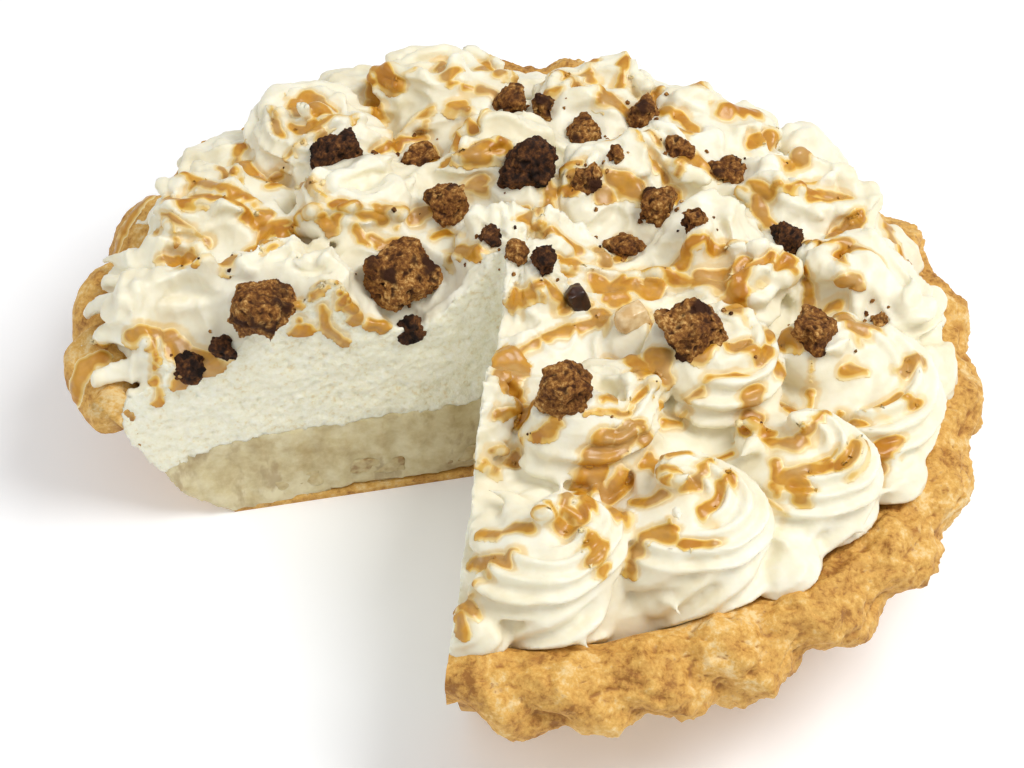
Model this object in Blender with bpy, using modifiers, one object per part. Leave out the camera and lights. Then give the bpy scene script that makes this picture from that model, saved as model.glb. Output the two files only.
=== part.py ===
"""Banana cream pie with one slice taken out, in metres, +Z up.

The pie stands on z = 0 with its centre on the Z axis. From the bottom up it
is a pastry crust with a thick crimped rim, banana custard, a layer of whipped
cream, and a coat of piped cream rosettes with pieces of brown cake on top.
Each layer is built whole and one wedge then takes the slice out of all of
them.
"""
import math
import random

import bmesh
import bpy
from mathutils import Euler, Matrix, Vector, noise
from mathutils.bvhtree import BVHTree

MM = 0.001
GAP = 0.3 * MM

# Crust
RIM_CENTRE_RADIUS = 113.5 * MM
RIM_ROLL_RADIUS = 11.5 * MM
RIM_HEIGHT = 45.0 * MM
CRUST_FLOOR = 3.0 * MM
BASE_RADIUS = 81.0 * MM
OUTER_WALL = ((98.8 * MM, 20.9 * MM), (93.0 * MM, 9.8 * MM))
INNER_WALL = ((78.5 * MM, CRUST_FLOOR), (90.0 * MM, 11.0 * MM),
              (95.5 * MM, 20.0 * MM), (98.0 * MM, 26.0 * MM))
ROLL_START_DEG = 208.0
ROLL_END_DEG = -126.0
ROLL_POINTS = 10
CRUST_STEPS = 80
CRIMP_CENTRES_DEG = (9.4, 24.9, 39, 54, 69, 84, 99, 113.4, 129, 143.5, 157.7, 172.5, 184.7,
                     199, 213, 227, 241, 255, 268, 278.5, 288, 298.9, 310.6, 324.6, 337, 352.5)
CRIMP_INSET = 2.0 * MM
CRIMP_SQUEEZE = 2.2 * MM
CRIMP_SKEW = math.radians(3.5)
CRIMP_CROWN = 0.7
CRAG_SIZE = 9.0 * MM
CRAG_HEIGHT = 1.1 * MM
FLAKE_ANGLE = math.radians(296.6)
FLAKE_ROLL_ANGLE = math.radians(-48.0)
FLAKE_LENGTH = 6.0 * MM
FLAKE_SPREAD = 0.045
FLAKE_ROLL_SPREAD = 0.5

# Fillings
FILLING_STEPS = 36
FILLING_RADIUS = 98.0 * MM
CUSTARD_HEIGHT = 30.0 * MM
CUSTARD_EDGE_DROP = 4.0 * MM
CUSTARD_TIP_RISE = 8.0 * MM
CUSTARD_TIP_RADIUS = 11.0 * MM
CUSTARD_WAVE = 1.3 * MM
CUSTARD_WAVE_SIZE = 22.0 * MM
CREAM_CENTRE_HEIGHT = 67.0 * MM
CREAM_EDGE_RADIUS = 102.0 * MM
CREAM_EDGE_DROP = 21.0 * MM
CREAM_DOME_POWER = 2.6
UNDER_ROLL_RADIUS = 103.0 * MM
UNDER_ROLL_HEIGHT = 38.5 * MM
LAYER_RINGS = (12.0 * MM, 34.0 * MM, 61.0 * MM, 84.0 * MM)

# Missing slice: its tip, and the directions of its two cuts
SLICE_TIP = Vector((-3.5 * MM, 0.0, 0.0))
SLICE_START_DEG = 191.7
SLICE_END_DEG = 263.0
CUTTER_REACH = 200.0 * MM

# Piped rosettes: angle round the pie, distance from its centre, width, height of the peak over the
# floor, and twist of the ribs from root to peak, in degrees and millimetres
OUTER_ROSETTES = (
    (275, 86, 48, 87, 165), (298, 86, 50, 88, 185), (320, 88, 48, 86, 150), (342, 89, 49, 86, 120),
    (4, 88, 49, 85, 90), (27, 87, 49, 86, 70), (50, 85, 49, 88, 100), (75, 85, 50, 87, 80),
    (103, 84, 52, 88, 90), (131, 87, 50, 88, 60), (157, 87, 48, 87, 80), (181, 88, 46, 84, 100),
    (203, 87, 46, 85, 90))
INNER_ROSETTES = (
    (291, 51, 46, 87, 120), (331, 53, 48, 88, 100), (10, 51, 48, 86, 110), (54, 50, 48, 88, 90),
    (97, 50, 49, 88, 100), (140, 51, 48, 87, 120), (181, 53, 46, 83, 80), (216, 50, 40, 84, 90),
    (251, 50, 42, 86, 90), (60, 10, 46, 88, 110))
OUTER_RIBS = 7
INNER_RIBS = 6
POINTS_PER_RIB = 3
ROSETTE_PROFILE = ((0.92, 0.0), (1.0, 0.20), (0.93, 0.44), (0.74, 0.65), (0.46, 0.82), (0.18, 0.93))
RIB_DEPTH = (0.08, 0.20, 0.25, 0.28, 0.30, 0.25)
RIB_VALLEY_POWER = 1.5
ROSETTE_LEAN = 4.0 * MM
COAT_THICKNESS = 3.0 * MM
COAT_FACES_KEPT = 0.41
COAT_EDGE = ((CREAM_EDGE_RADIUS - GAP, 49.0 * MM), (CREAM_EDGE_RADIUS - GAP, 46.5 * MM))
SEAT_DEPTH = 1.6 * MM
SEAT_ON_RIM = 1.5 * MM

# Banana slices in the custard: distance along a cut, distance behind it, height, tip in degrees
BANANA_WIDTH = 21.0 * MM
BANANA_THICKNESS = 6.0 * MM
BANANA_SIDES = 12
START_CUT_BANANAS = ((59, 8.0, 8.9, 7), (37, 6.5, 9.2, -8), (15, 7.5, 9.8, 6))
END_CUT_BANANAS = ((33, 7.5, 9.0, -6), (63, 7.0, 9.2, 7))

# Pieces on top: x, y, width, depth and height in millimetres, and turn in degrees
CHUNKS = {
    "cake_chunk_01": (-51.0, 48.2, 15.0, 13.0, 12.0, 20),
    "cake_chunk_02": (-28.2, 58.0, 11.0, 8.0, 8.0, 50),
    "cake_chunk_03": (1.9, 35.5, 15.0, 14.0, 16.0, 70),
    "cake_chunk_04": (-3.5, 72.5, 10.0, 9.0, 9.0, 10),
    "cake_chunk_05": (6.5, 69.5, 8.0, 7.0, 9.0, 80),
    "cake_chunk_06": (17.5, 61.5, 12.0, 10.0, 9.0, 35),
    "cake_chunk_07": (34.7, 69.0, 10.0, 9.0, 9.0, 65),
    "cake_chunk_08": (-20.3, 27.0, 11.5, 11.0, 12.0, 15),
    "cake_chunk_09": (-7.8, 6.5, 6.6, 6.5, 6.0, 40),
    "cake_chunk_10": (-1.2, -0.8, 5.2, 5.0, 5.0, 65),
    "cake_chunk_11": (6.0, -4.0, 6.0, 8.0, 9.0, 5),
    "cake_chunk_12": (-31.4, 4.5, 19.5, 16.0, 14.0, 30),
    "cake_chunk_13": (-67.0, -10.5, 18.0, 16.5, 14.5, 60),
    "cake_chunk_14": (17.8, 30.5, 9.0, 8.0, 7.0, 20),
    "cake_chunk_15": (36.5, 26.0, 12.0, 9.5, 9.0, 75),
    "cake_chunk_16": (28.0, 16.0, 9.5, 9.0, 9.0, 45),
    "cake_chunk_17": (43.7, 46.5, 8.0, 7.0, 6.0, 10),
    "cake_chunk_18": (57.5, 45.0, 11.0, 9.0, 8.0, 55),
    "cake_chunk_19": (45.7, 11.5, 8.5, 8.0, 7.0, 25),
    "cake_chunk_20": (70.8, 18.0, 11.5, 9.0, 9.0, 85),
    "cake_chunk_21": (43.0, -32.0, 19.0, 16.0, 14.0, 15),
    "cake_chunk_22": (75.0, -24.0, 11.5, 10.0, 10.0, 50),
    "cake_chunk_23": (93.4, -9.5, 6.0, 5.0, 4.5, 15),
    "cake_chunk_24": (11.6, -54.0, 15.0, 14.0, 18.0, 70),
    "cake_chunk_25": (25.6, 36.5, 5.0, 4.5, 4.5, 35),
    "chocolate_chip": (15.0, -8.5, 6.0, 6.0, 8.0, 25),
    "toffee_piece": (28.5, -18.5, 9.5, 6.5, 6.0, 30),
}
CHUNK_SUNK_SHARE = 0.25
FINE_CHUNK_SIZE = 10.5 * MM
CHUNK_ROUNDNESS = 0.5
BLOCK_SCALE = 0.86
BALL_SCALE = 1.15
CHUNK_LUMPS = 0.22
CHUNK_LUMP_RATE = 1.7
CHUNK_TIP = 0.3

# Pieces held in the start cut: distance along it, height, width, depth and height in millimetres, turn
CUT_CHUNKS = {
    "cake_chunk_26": (26.1, 60.0, 7.5, 6.5, 8.0, 40),
    "cake_chunk_27": (75.5, 62.5, 7.5, 7.0, 7.0, 10),
    "cake_chunk_28": (84.5, 58.0, 8.0, 7.0, 7.5, 70),
}
CUT_CHUNK_DEPTH = 1.5 * MM


def collection_named(name):
    """A new collection under the scene's own one."""
    made = bpy.data.collections.new(name)
    bpy.context.scene.collection.children.link(made)
    return made


def material_named(name, colour, roughness):
    """A plain food material with its base colour and roughness."""
    made = bpy.data.materials.new(name)
    made.use_nodes = True
    shader = made.node_tree.nodes["Principled BSDF"]
    shader.inputs["Base Color"].default_value = (*colour, 1.0)
    shader.inputs["Roughness"].default_value = roughness
    shader.inputs["Metallic"].default_value = 0.0
    return made


def place(mesh, name, collection, material=None):
    """An object for a mesh, in its collection and with its material."""
    made = bpy.data.objects.new(name, mesh)
    collection.objects.link(made)
    if material:
        mesh.materials.append(material)
    return made


def cutting(mesh, name):
    """A cutter: shown as wires and left out of renders."""
    made = place(mesh, name, cutters)
    made.hide_render = True
    made.display_type = "WIRE"
    return made


def subtract(piece, cutter, label):
    """Cut one object, or every object of a collection, out of a piece."""
    cut = piece.modifiers.new(label, "BOOLEAN")
    cut.operation = "DIFFERENCE"
    cut.solver = "EXACT"
    if isinstance(cutter, bpy.types.Collection):
        cut.operand_type = "COLLECTION"
        cut.collection = cutter
    else:
        cut.object = cutter


def applied(piece):
    """Keep what the modifiers of a piece make, and clear the modifiers."""
    evaluated = piece.evaluated_get(bpy.context.evaluated_depsgraph_get())
    kept = bpy.data.meshes.new_from_object(evaluated)
    piece.modifiers.clear()
    piece.data = kept
    return piece


def one_body(piece):
    """Keep the outer skin of a cut piece: fill its sealed hollows, drop its scraps."""
    applied(piece)
    cage = bmesh.new()
    cage.from_mesh(piece.data)
    waiting = dict.fromkeys(cage.faces)
    skins = []
    while waiting:
        skin = [waiting.popitem()[0]]
        for face in skin:
            plain_edges = [edge for edge in face.edges if len(edge.link_faces) == 2]
            for neighbour in (near for edge in plain_edges for near in edge.link_faces):
                if neighbour in waiting:
                    del waiting[neighbour]
                    skin.append(neighbour)
        skins.append(skin)
    skins.sort(key=len)
    for skin in skins[:-1]:
        bmesh.ops.delete(cage, geom=skin, context="FACES")
    cage.to_mesh(piece.data)
    cage.free()


def turned(points, steps, name):
    """A mesh turned round Z from a profile that runs outward, down and back in."""
    profile = bpy.data.meshes.new(name)
    edges = [(index, index + 1) for index in range(len(points) - 1)]
    profile.from_pydata([(radius, 0.0, height) for radius, height in points], edges, [])
    source = place(profile, name, cutters)
    screw = source.modifiers.new("turn", "SCREW")
    screw.steps = steps
    screw.render_steps = steps
    screw.use_merge_vertices = True
    screw.merge_threshold = 0.05 * MM
    mesh = applied(source).data
    bpy.data.objects.remove(source)
    return mesh


def split_into_triangles(mesh):
    """Split the faces of a mesh, so moved points leave no bent faces."""
    cage = bmesh.new()
    cage.from_mesh(mesh)
    bmesh.ops.triangulate(cage, faces=cage.faces[:])
    cage.to_mesh(mesh)
    cage.free()
    return mesh


def smooth_step(low, high, value):
    """0 below low, 1 above high, and a smooth rise between."""
    share = min(max((value - low) / (high - low), 0.0), 1.0)
    return share * share * (3.0 - 2.0 * share)


def crimp(angle):
    """1 on the crown of a crimp in the rim, 0 in the pinch between two."""
    turn = math.degrees(angle) % 360.0
    centres = [CRIMP_CENTRES_DEG[-1] - 360.0, *CRIMP_CENTRES_DEG, CRIMP_CENTRES_DEG[0] + 360.0]
    for start, end in zip(centres, centres[1:]):
        if start <= turn <= end:
            share = (turn - start) / (end - start)
            return abs(math.cos(math.pi * share)) ** CRIMP_CROWN
    return 1.0


def crust_profile():
    """Half of the crust's section, from the floor's top to its underside."""
    points = [(0.0, CRUST_FLOOR), *INNER_WALL]
    for index in range(ROLL_POINTS):
        share = index / (ROLL_POINTS - 1)
        turn = math.radians(ROLL_START_DEG + share * (ROLL_END_DEG - ROLL_START_DEG))
        points.append((RIM_CENTRE_RADIUS + RIM_ROLL_RADIUS * math.cos(turn),
                       RIM_HEIGHT + RIM_ROLL_RADIUS * math.sin(turn)))
    return [*points, *OUTER_WALL, (BASE_RADIUS, 0.0), (0.0, 0.0)]


def rim_point(radius, height, angle):
    """Move a point of the round rim to where the crimps and crags put it."""
    across = radius - RIM_CENTRE_RADIUS
    up = height - RIM_HEIGHT
    roll_angle = math.atan2(up, across)
    reach = math.hypot(across, up)
    pinch = 1.0 - crimp(angle + CRIMP_SKEW * math.sin(roll_angle))
    outside = smooth_step(-0.9 * RIM_ROLL_RADIUS, -0.2 * RIM_ROLL_RADIUS, across)
    place_in_noise = Vector((radius * math.cos(angle), radius * math.sin(angle), height)) / CRAG_SIZE
    crag = CRAG_HEIGHT * noise.noise(place_in_noise) * outside
    from_flake = Vector(((angle - FLAKE_ANGLE) / FLAKE_SPREAD,
                         (roll_angle - FLAKE_ROLL_ANGLE) / FLAKE_ROLL_SPREAD))
    flake = FLAKE_LENGTH * math.exp(-from_flake.length_squared)
    reach += crag + flake - CRIMP_SQUEEZE * pinch * reach / RIM_ROLL_RADIUS
    centre = RIM_CENTRE_RADIUS - CRIMP_INSET * pinch
    return centre + reach * math.cos(roll_angle), RIM_HEIGHT + reach * math.sin(roll_angle)


def crust_mesh(name):
    """The whole crust, with its rim crimped."""
    mesh = split_into_triangles(turned(crust_profile(), CRUST_STEPS, name))
    for vertex in mesh.vertices:
        radius = math.hypot(vertex.co.x, vertex.co.y)
        angle = math.atan2(vertex.co.y, vertex.co.x) % (2.0 * math.pi)
        if vertex.co.z > RIM_HEIGHT - RIM_ROLL_RADIUS - MM:
            radius, height = rim_point(radius, vertex.co.z, angle)
            vertex.co = (radius * math.cos(angle), radius * math.sin(angle), height)
    return mesh


def custard_top(radius, x, y):
    """Height of the custard: lower at the crust, raised at the slice's tip."""
    drop = CUSTARD_EDGE_DROP * smooth_step(LAYER_RINGS[-2], FILLING_RADIUS, radius)
    rise = CUSTARD_TIP_RISE * math.exp(-(radius / CUSTARD_TIP_RADIUS) ** 2)
    wave = CUSTARD_WAVE * noise.noise(Vector((x, y, 0.0)) / CUSTARD_WAVE_SIZE)
    return CUSTARD_HEIGHT - drop + rise + wave


def cream_top(radius):
    """Height of the whipped cream layer, domed towards the centre."""
    return CREAM_CENTRE_HEIGHT - CREAM_EDGE_DROP * (radius / CREAM_EDGE_RADIUS) ** CREAM_DOME_POWER


def custard_mesh(raised, widened, name):
    """The custard up to its wavy top, or one raised and widened for cutting room."""
    edge = FILLING_RADIUS - GAP
    top = [(radius, CUSTARD_HEIGHT) for radius in (0.0, *LAYER_RINGS, edge)]
    side = [(radius - 2 * GAP, height + GAP) for radius, height in reversed(INNER_WALL[:-1])]
    mesh = split_into_triangles(turned([*top, *side, (0.0, CRUST_FLOOR + GAP)], FILLING_STEPS, name))
    for vertex in mesh.vertices:
        radius = math.hypot(vertex.co.x, vertex.co.y)
        if vertex.co.z > CUSTARD_HEIGHT - MM:
            vertex.co.z = custard_top(radius, vertex.co.x, vertex.co.y) + raised
        if radius > LAYER_RINGS[-1]:
            vertex.co.x *= 1.0 + widened / radius
            vertex.co.y *= 1.0 + widened / radius
    return mesh


def whipped_mesh(name):
    """The whipped cream from its dome down into the custard, before it is trimmed."""
    roll_top = (CREAM_EDGE_RADIUS - GAP, cream_top(CREAM_EDGE_RADIUS))
    under_roll = (UNDER_ROLL_RADIUS - 2 * GAP, UNDER_ROLL_HEIGHT)
    dome = [(radius, cream_top(radius)) for radius in (0.0, *LAYER_RINGS)]
    side = [(radius - 2 * GAP, height + GAP) for radius, height in reversed(INNER_WALL[2:])]
    points = [*dome, roll_top, under_roll, *side, (0.0, side[-1][1])]
    return split_into_triangles(turned(points, FILLING_STEPS, name))


def coat_base_mesh(name):
    """The thin coat of cream that the rosettes stand on, clear of layer and rim."""
    rings = (0.0, *LAYER_RINGS)
    top = [(radius, cream_top(radius) + COAT_THICKNESS) for radius in rings]
    bottom = [(radius, cream_top(radius) + GAP) for radius in reversed(rings)]
    return split_into_triangles(turned([*top, *COAT_EDGE, *bottom], FILLING_STEPS, name))


def seat(radius):
    """Height that a rosette's root stands on: inside the coat, or on the rim's roll."""
    on_layer = cream_top(radius) + SEAT_DEPTH
    across = min(radius - RIM_CENTRE_RADIUS, 0.0)
    if across <= -RIM_ROLL_RADIUS:
        return on_layer
    on_rim = RIM_HEIGHT + math.sqrt(RIM_ROLL_RADIUS ** 2 - across ** 2) + SEAT_ON_RIM
    return max(on_layer, on_rim)


def rosette_point(row, lean, start, around, reach, up, depth, ribs):
    """A point on a rosette, at an angle round it and a share of its height."""
    turn, distance, width, peak, twist = row
    angle = math.radians(turn)
    valley = ((1.0 - math.cos(ribs * around)) / 2.0) ** RIB_VALLEY_POWER
    reach *= 0.5 * width * MM * (1.0 - depth * valley)
    swept = start + around + math.radians(twist) * up
    x = distance * MM * math.cos(angle) + lean.x * up ** 2 + reach * math.cos(swept)
    y = distance * MM * math.sin(angle) + lean.y * up ** 2 + reach * math.sin(swept)
    root = seat(math.hypot(x, y))
    return Vector((x, y, root + (peak * MM - root) * up))


def rosette_mesh(row, ribs, seed, name):
    """One piped rosette: a ribbed dome whose ribs twist up to a leaning peak."""
    draw = random.Random(seed)
    lean = Vector((draw.uniform(-1.0, 1.0), draw.uniform(-1.0, 1.0))) * ROSETTE_LEAN
    start = draw.uniform(0.0, 2.0 * math.pi)
    rings = len(ROSETTE_PROFILE)
    cage = bmesh.new()
    bmesh.ops.create_uvsphere(cage, u_segments=ribs * POINTS_PER_RIB, v_segments=rings + 1, radius=1.0)
    bmesh.ops.triangulate(cage, faces=cage.faces[:])
    for vertex in cage.verts:
        level = (rings + 1) * (0.5 + math.asin(max(-1.0, min(1.0, vertex.co.z))) / math.pi)
        ring = round(level) - 1
        around = math.atan2(vertex.co.y, vertex.co.x)
        if ring < 0:
            reach, up, depth = 0.0, 0.0, 0.0
        elif ring >= rings:
            reach, up, depth = 0.0, 1.0, 0.0
        else:
            reach, up = ROSETTE_PROFILE[ring]
            depth = RIB_DEPTH[ring]
        vertex.co = rosette_point(row, lean, start, around, reach, up, depth, ribs)
    mesh = bpy.data.meshes.new(name)
    cage.to_mesh(mesh)
    cage.free()
    return mesh


def piped_coat(name, material):
    """The coat and its rosettes, joined into one body."""
    joined = collection_named("rosettes")
    for index, row in enumerate(OUTER_ROSETTES):
        place(rosette_mesh(row, OUTER_RIBS, 100 + index, "rosette"), "rosette", joined)
    for index, row in enumerate(INNER_ROSETTES):
        place(rosette_mesh(row, INNER_RIBS, 200 + index, "rosette"), "rosette", joined)
    coat = place(coat_base_mesh(name), name, pie, material)
    union = coat.modifiers.new("join rosettes", "BOOLEAN")
    union.operation = "UNION"
    union.solver = "MANIFOLD"
    union.operand_type = "COLLECTION"
    union.collection = joined
    one_body(coat)
    above = coat.vertex_groups.new(name="above the underside")
    for vertex in coat.data.vertices:
        if vertex.co.z > cream_top(math.hypot(vertex.co.x, vertex.co.y)) + 2 * GAP:
            above.add([vertex.index], 1.0, "REPLACE")
    simpler = coat.modifiers.new("fewer small faces", "DECIMATE")
    simpler.ratio = COAT_FACES_KEPT
    simpler.vertex_group = above.name
    simpler.use_collapse_triangulate = True
    applied(coat)
    for rosette in list(joined.objects):
        bpy.data.objects.remove(rosette)
    bpy.data.collections.remove(joined)
    coat.data.materials.clear()
    coat.data.materials.append(material)
    return coat


def chunk_mesh(size, seed, grow, name):
    """A torn piece of cake: a lumpy block with uneven corners."""
    draw = random.Random(seed)
    offset = Vector((draw.uniform(-50, 50), draw.uniform(-50, 50), draw.uniform(-50, 50)))
    cuts = 2 if max(size) > FINE_CHUNK_SIZE else 1
    cage = bmesh.new()
    bmesh.ops.create_cube(cage, size=2.0)
    bmesh.ops.subdivide_edges(cage, edges=cage.edges[:], cuts=cuts, use_grid_fill=True)
    bmesh.ops.triangulate(cage, faces=cage.faces[:])
    for vertex in cage.verts:
        point = (vertex.co * BLOCK_SCALE).lerp(vertex.co.normalized() * BALL_SCALE, CHUNK_ROUNDNESS)
        point *= 1.0 + CHUNK_LUMPS * noise.noise(point * CHUNK_LUMP_RATE + offset)
        vertex.co = Vector((point.x * size[0], point.y * size[1], point.z * size[2])) * 0.5
    cage.normal_update()
    moved = [(vertex, vertex.normal * grow) for vertex in cage.verts]
    for vertex, step in moved:
        vertex.co += step
    mesh = bpy.data.meshes.new(name)
    cage.to_mesh(mesh)
    cage.free()
    return mesh


def tipped(seed, turn):
    """A turn about Z in degrees with a small random tip."""
    draw = random.Random(seed)
    tips = (draw.uniform(-CHUNK_TIP, CHUNK_TIP), draw.uniform(-CHUNK_TIP, CHUNK_TIP))
    return Euler((*tips, math.radians(turn))).to_matrix().to_4x4()


def dropped(x, y, height, surface):
    """A point over the coat where a chunk lies with its underside sunk in."""
    hit, _, _, _ = surface.ray_cast(Vector((x * MM, y * MM, CUTTER_REACH)), Vector((0.0, 0.0, -1.0)))
    return hit + Vector((0.0, 0.0, (0.5 - CHUNK_SUNK_SHARE) * height * MM))


def beside_cut(turn, along, behind, height, into_pie):
    """A point at a distance along a cut, behind its face and over the floor."""
    angle = math.radians(turn)
    outward = Vector((math.cos(angle), math.sin(angle), 0.0))
    inward = Vector((-outward.y, outward.x, 0.0)) * into_pie
    return SLICE_TIP + outward * along * MM + inward * behind + Vector((0.0, 0.0, height * MM))


def add_chunk(name, size, centre, turn, seed, material):
    """One chunk, and the pocket that holds it with room on all sides."""
    size = [side * MM for side in size]
    where = Matrix.Translation(centre) @ tipped(seed, turn)
    chunk = place(chunk_mesh(size, seed, 0.0, name), name, pie, material)
    chunk.matrix_world = where
    pocket = place(chunk_mesh(size, seed, GAP, "pocket_" + name), "pocket_" + name, pockets)
    pocket.hide_render = True
    pocket.display_type = "WIRE"
    pocket.matrix_world = where


def banana_mesh(grow, name):
    """A round slice of banana."""
    cage = bmesh.new()
    radius = 0.5 * BANANA_WIDTH + grow
    bmesh.ops.create_cone(cage, cap_ends=True, segments=BANANA_SIDES, radius1=radius, radius2=0.97 * radius,
                          depth=BANANA_THICKNESS + 2 * grow)
    mesh = bpy.data.meshes.new(name)
    cage.to_mesh(mesh)
    cage.free()
    return mesh


def add_bananas(rows, turn, into_pie, first_number):
    """The banana slices that one cut of the pie goes through."""
    for number, (along, behind, height, tip) in enumerate(rows, first_number):
        name = f"banana_slice_{number}"
        centre = beside_cut(turn, along, behind * MM, height, into_pie)
        lie = Euler((math.radians(tip), math.radians(-0.7 * tip), 0.0)).to_matrix().to_4x4()
        where = Matrix.Translation(centre) @ lie
        banana = place(banana_mesh(0.0, name), name, pie, banana_flesh)
        banana.matrix_world = where
        room = cutting(banana_mesh(GAP, "room_" + name), "room_" + name)
        room.matrix_world = where
        subtract(custard, room, "room for banana")
        subtract(banana, missing_slice, "take the slice")


def slice_mesh(name):
    """The wedge that is missing from the pie, taller and longer than it."""
    cage = bmesh.new()
    corners = [SLICE_TIP]
    for turn in (SLICE_START_DEG, 0.5 * (SLICE_START_DEG + SLICE_END_DEG), SLICE_END_DEG):
        angle = math.radians(turn)
        corners.append(SLICE_TIP + CUTTER_REACH * Vector((math.cos(angle), math.sin(angle), 0.0)))
    below = Vector((0.0, 0.0, -0.5 * CUTTER_REACH))
    face = cage.faces.new([cage.verts.new(corner + below) for corner in corners])
    grown = bmesh.ops.extrude_face_region(cage, geom=[face])
    top = [item for item in grown["geom"] if isinstance(item, bmesh.types.BMVert)]
    bmesh.ops.translate(cage, verts=top, vec=(0.0, 0.0, CUTTER_REACH))
    bmesh.ops.recalc_face_normals(cage, faces=cage.faces[:])
    mesh = bpy.data.meshes.new(name)
    cage.to_mesh(mesh)
    cage.free()
    return mesh


for leftover in list(bpy.data.objects):
    bpy.data.objects.remove(leftover)
pie = collection_named("banana_cream_pie")
cutters = collection_named("cutters")
pockets = collection_named("pockets")

baked_crust = material_named("baked_crust", (0.55, 0.33, 0.12), 0.7)
banana_custard = material_named("banana_custard", (0.50, 0.40, 0.22), 0.35)
whipped = material_named("whipped_cream", (0.72, 0.70, 0.52), 0.6)
piped = material_named("piped_cream", (0.84, 0.82, 0.66), 0.45)
brown_cake = material_named("brown_cake", (0.17, 0.08, 0.03), 0.85)
chocolate = material_named("dark_chocolate", (0.05, 0.02, 0.01), 0.35)
toffee = material_named("pale_toffee", (0.70, 0.48, 0.26), 0.3)
banana_flesh = material_named("banana_flesh", (0.52, 0.38, 0.20), 0.5)

missing_slice = cutting(slice_mesh("missing_slice"), "missing_slice")
crust = place(crust_mesh("crust"), "crust", pie, baked_crust)
custard = place(custard_mesh(0.0, 0.0, "custard_filling"), "custard_filling", pie, banana_custard)
whipped_layer = place(whipped_mesh("whipped_cream"), "whipped_cream", pie, whipped)
custard_room = cutting(custard_mesh(GAP, FILLING_RADIUS - INNER_WALL[2][0], "custard_room"), "custard_room")
subtract(whipped_layer, custard_room, "rest on custard")
piped_cream = piped_coat("piped_cream", piped)

add_bananas(START_CUT_BANANAS, SLICE_START_DEG, -1.0, 1)
add_bananas(END_CUT_BANANAS, SLICE_END_DEG, 1.0, 1 + len(START_CUT_BANANAS))

coat_surface = BVHTree.FromObject(piped_cream, bpy.context.evaluated_depsgraph_get())
special = {"chocolate_chip": chocolate, "toffee_piece": toffee}
for number, (chunk_name, (x, y, *size, turn)) in enumerate(CHUNKS.items()):
    centre = dropped(x, y, size[-1], coat_surface)
    add_chunk(chunk_name, size, centre, turn, 700 + number, special.get(chunk_name, brown_cake))
for number, (chunk_name, (along, height, *size, turn)) in enumerate(CUT_CHUNKS.items()):
    centre = beside_cut(SLICE_START_DEG, along, CUT_CHUNK_DEPTH, height, -1.0)
    add_chunk(chunk_name, size, centre, turn, 800 + number, brown_cake)

for piece in (whipped_layer, piped_cream):
    subtract(piece, pockets, "pockets for chunks")
for piece in (crust, custard, whipped_layer, piped_cream):
    subtract(piece, missing_slice, "take the slice")
for piece in (whipped_layer, piped_cream):
    one_body(piece)
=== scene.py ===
# %% [markdown]
# # A banana cream pie with one slice taken out
#
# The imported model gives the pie's layers as plain closed solids. This lesson dresses them one by one:
# pastry, custard, banana, cream, caramel, cake and crumbs. Everything is in metres, with +Z up.

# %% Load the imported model
import math
import random

import bmesh
import bpy
import numpy as np
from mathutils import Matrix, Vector, kdtree, noise
from mathutils.bvhtree import BVHTree


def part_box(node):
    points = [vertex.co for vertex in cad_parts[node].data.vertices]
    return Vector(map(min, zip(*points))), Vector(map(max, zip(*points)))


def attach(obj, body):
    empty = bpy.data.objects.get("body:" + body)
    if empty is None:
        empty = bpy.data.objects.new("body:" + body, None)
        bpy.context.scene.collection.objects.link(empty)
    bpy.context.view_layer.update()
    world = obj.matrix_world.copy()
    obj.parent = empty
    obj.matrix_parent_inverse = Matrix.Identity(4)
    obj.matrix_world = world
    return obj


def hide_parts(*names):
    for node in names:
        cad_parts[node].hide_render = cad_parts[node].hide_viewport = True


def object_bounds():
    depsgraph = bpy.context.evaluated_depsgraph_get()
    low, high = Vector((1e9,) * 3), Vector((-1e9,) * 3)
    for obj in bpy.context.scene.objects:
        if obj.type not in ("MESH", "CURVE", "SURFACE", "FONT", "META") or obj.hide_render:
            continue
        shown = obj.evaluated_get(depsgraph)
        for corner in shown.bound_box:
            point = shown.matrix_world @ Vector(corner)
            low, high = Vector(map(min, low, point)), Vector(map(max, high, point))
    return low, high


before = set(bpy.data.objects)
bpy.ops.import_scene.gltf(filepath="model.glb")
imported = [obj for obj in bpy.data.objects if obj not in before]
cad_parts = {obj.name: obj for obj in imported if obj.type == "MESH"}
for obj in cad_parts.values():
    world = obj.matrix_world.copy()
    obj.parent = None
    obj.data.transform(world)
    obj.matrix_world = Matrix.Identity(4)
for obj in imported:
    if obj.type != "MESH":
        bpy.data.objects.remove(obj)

MM = 0.001
TURN = 2.0 * math.pi
box_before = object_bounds()
print("nodes in the frame:", len(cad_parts))

# %% [markdown]
# ## Camera, light and floor
#
# The pie is seen from about 46 degrees above, with a long lens that keeps its rim almost elliptical.
# One wide soft light from above and to the right, a weaker one from the left and a white world
# leave only soft shadows, as a light tent would.

# %% Camera
CAMERA_PLACE = Vector((0.0, -0.4884, 0.5365))
CAMERA_AIM = Vector((-0.0022, 0.0, 0.0354))
camera = bpy.data.objects.new("camera", bpy.data.cameras.new("camera"))
bpy.context.scene.collection.objects.link(camera)
camera.data.lens = 89.9
camera.data.sensor_width = 36.0
camera.location = CAMERA_PLACE
camera.rotation_euler = (CAMERA_AIM - CAMERA_PLACE).to_track_quat("-Z", "Y").to_euler()
bpy.context.scene.camera = camera
print("camera:", round((CAMERA_PLACE - CAMERA_AIM).length, 3), "m away")

# %% Lights


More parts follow.
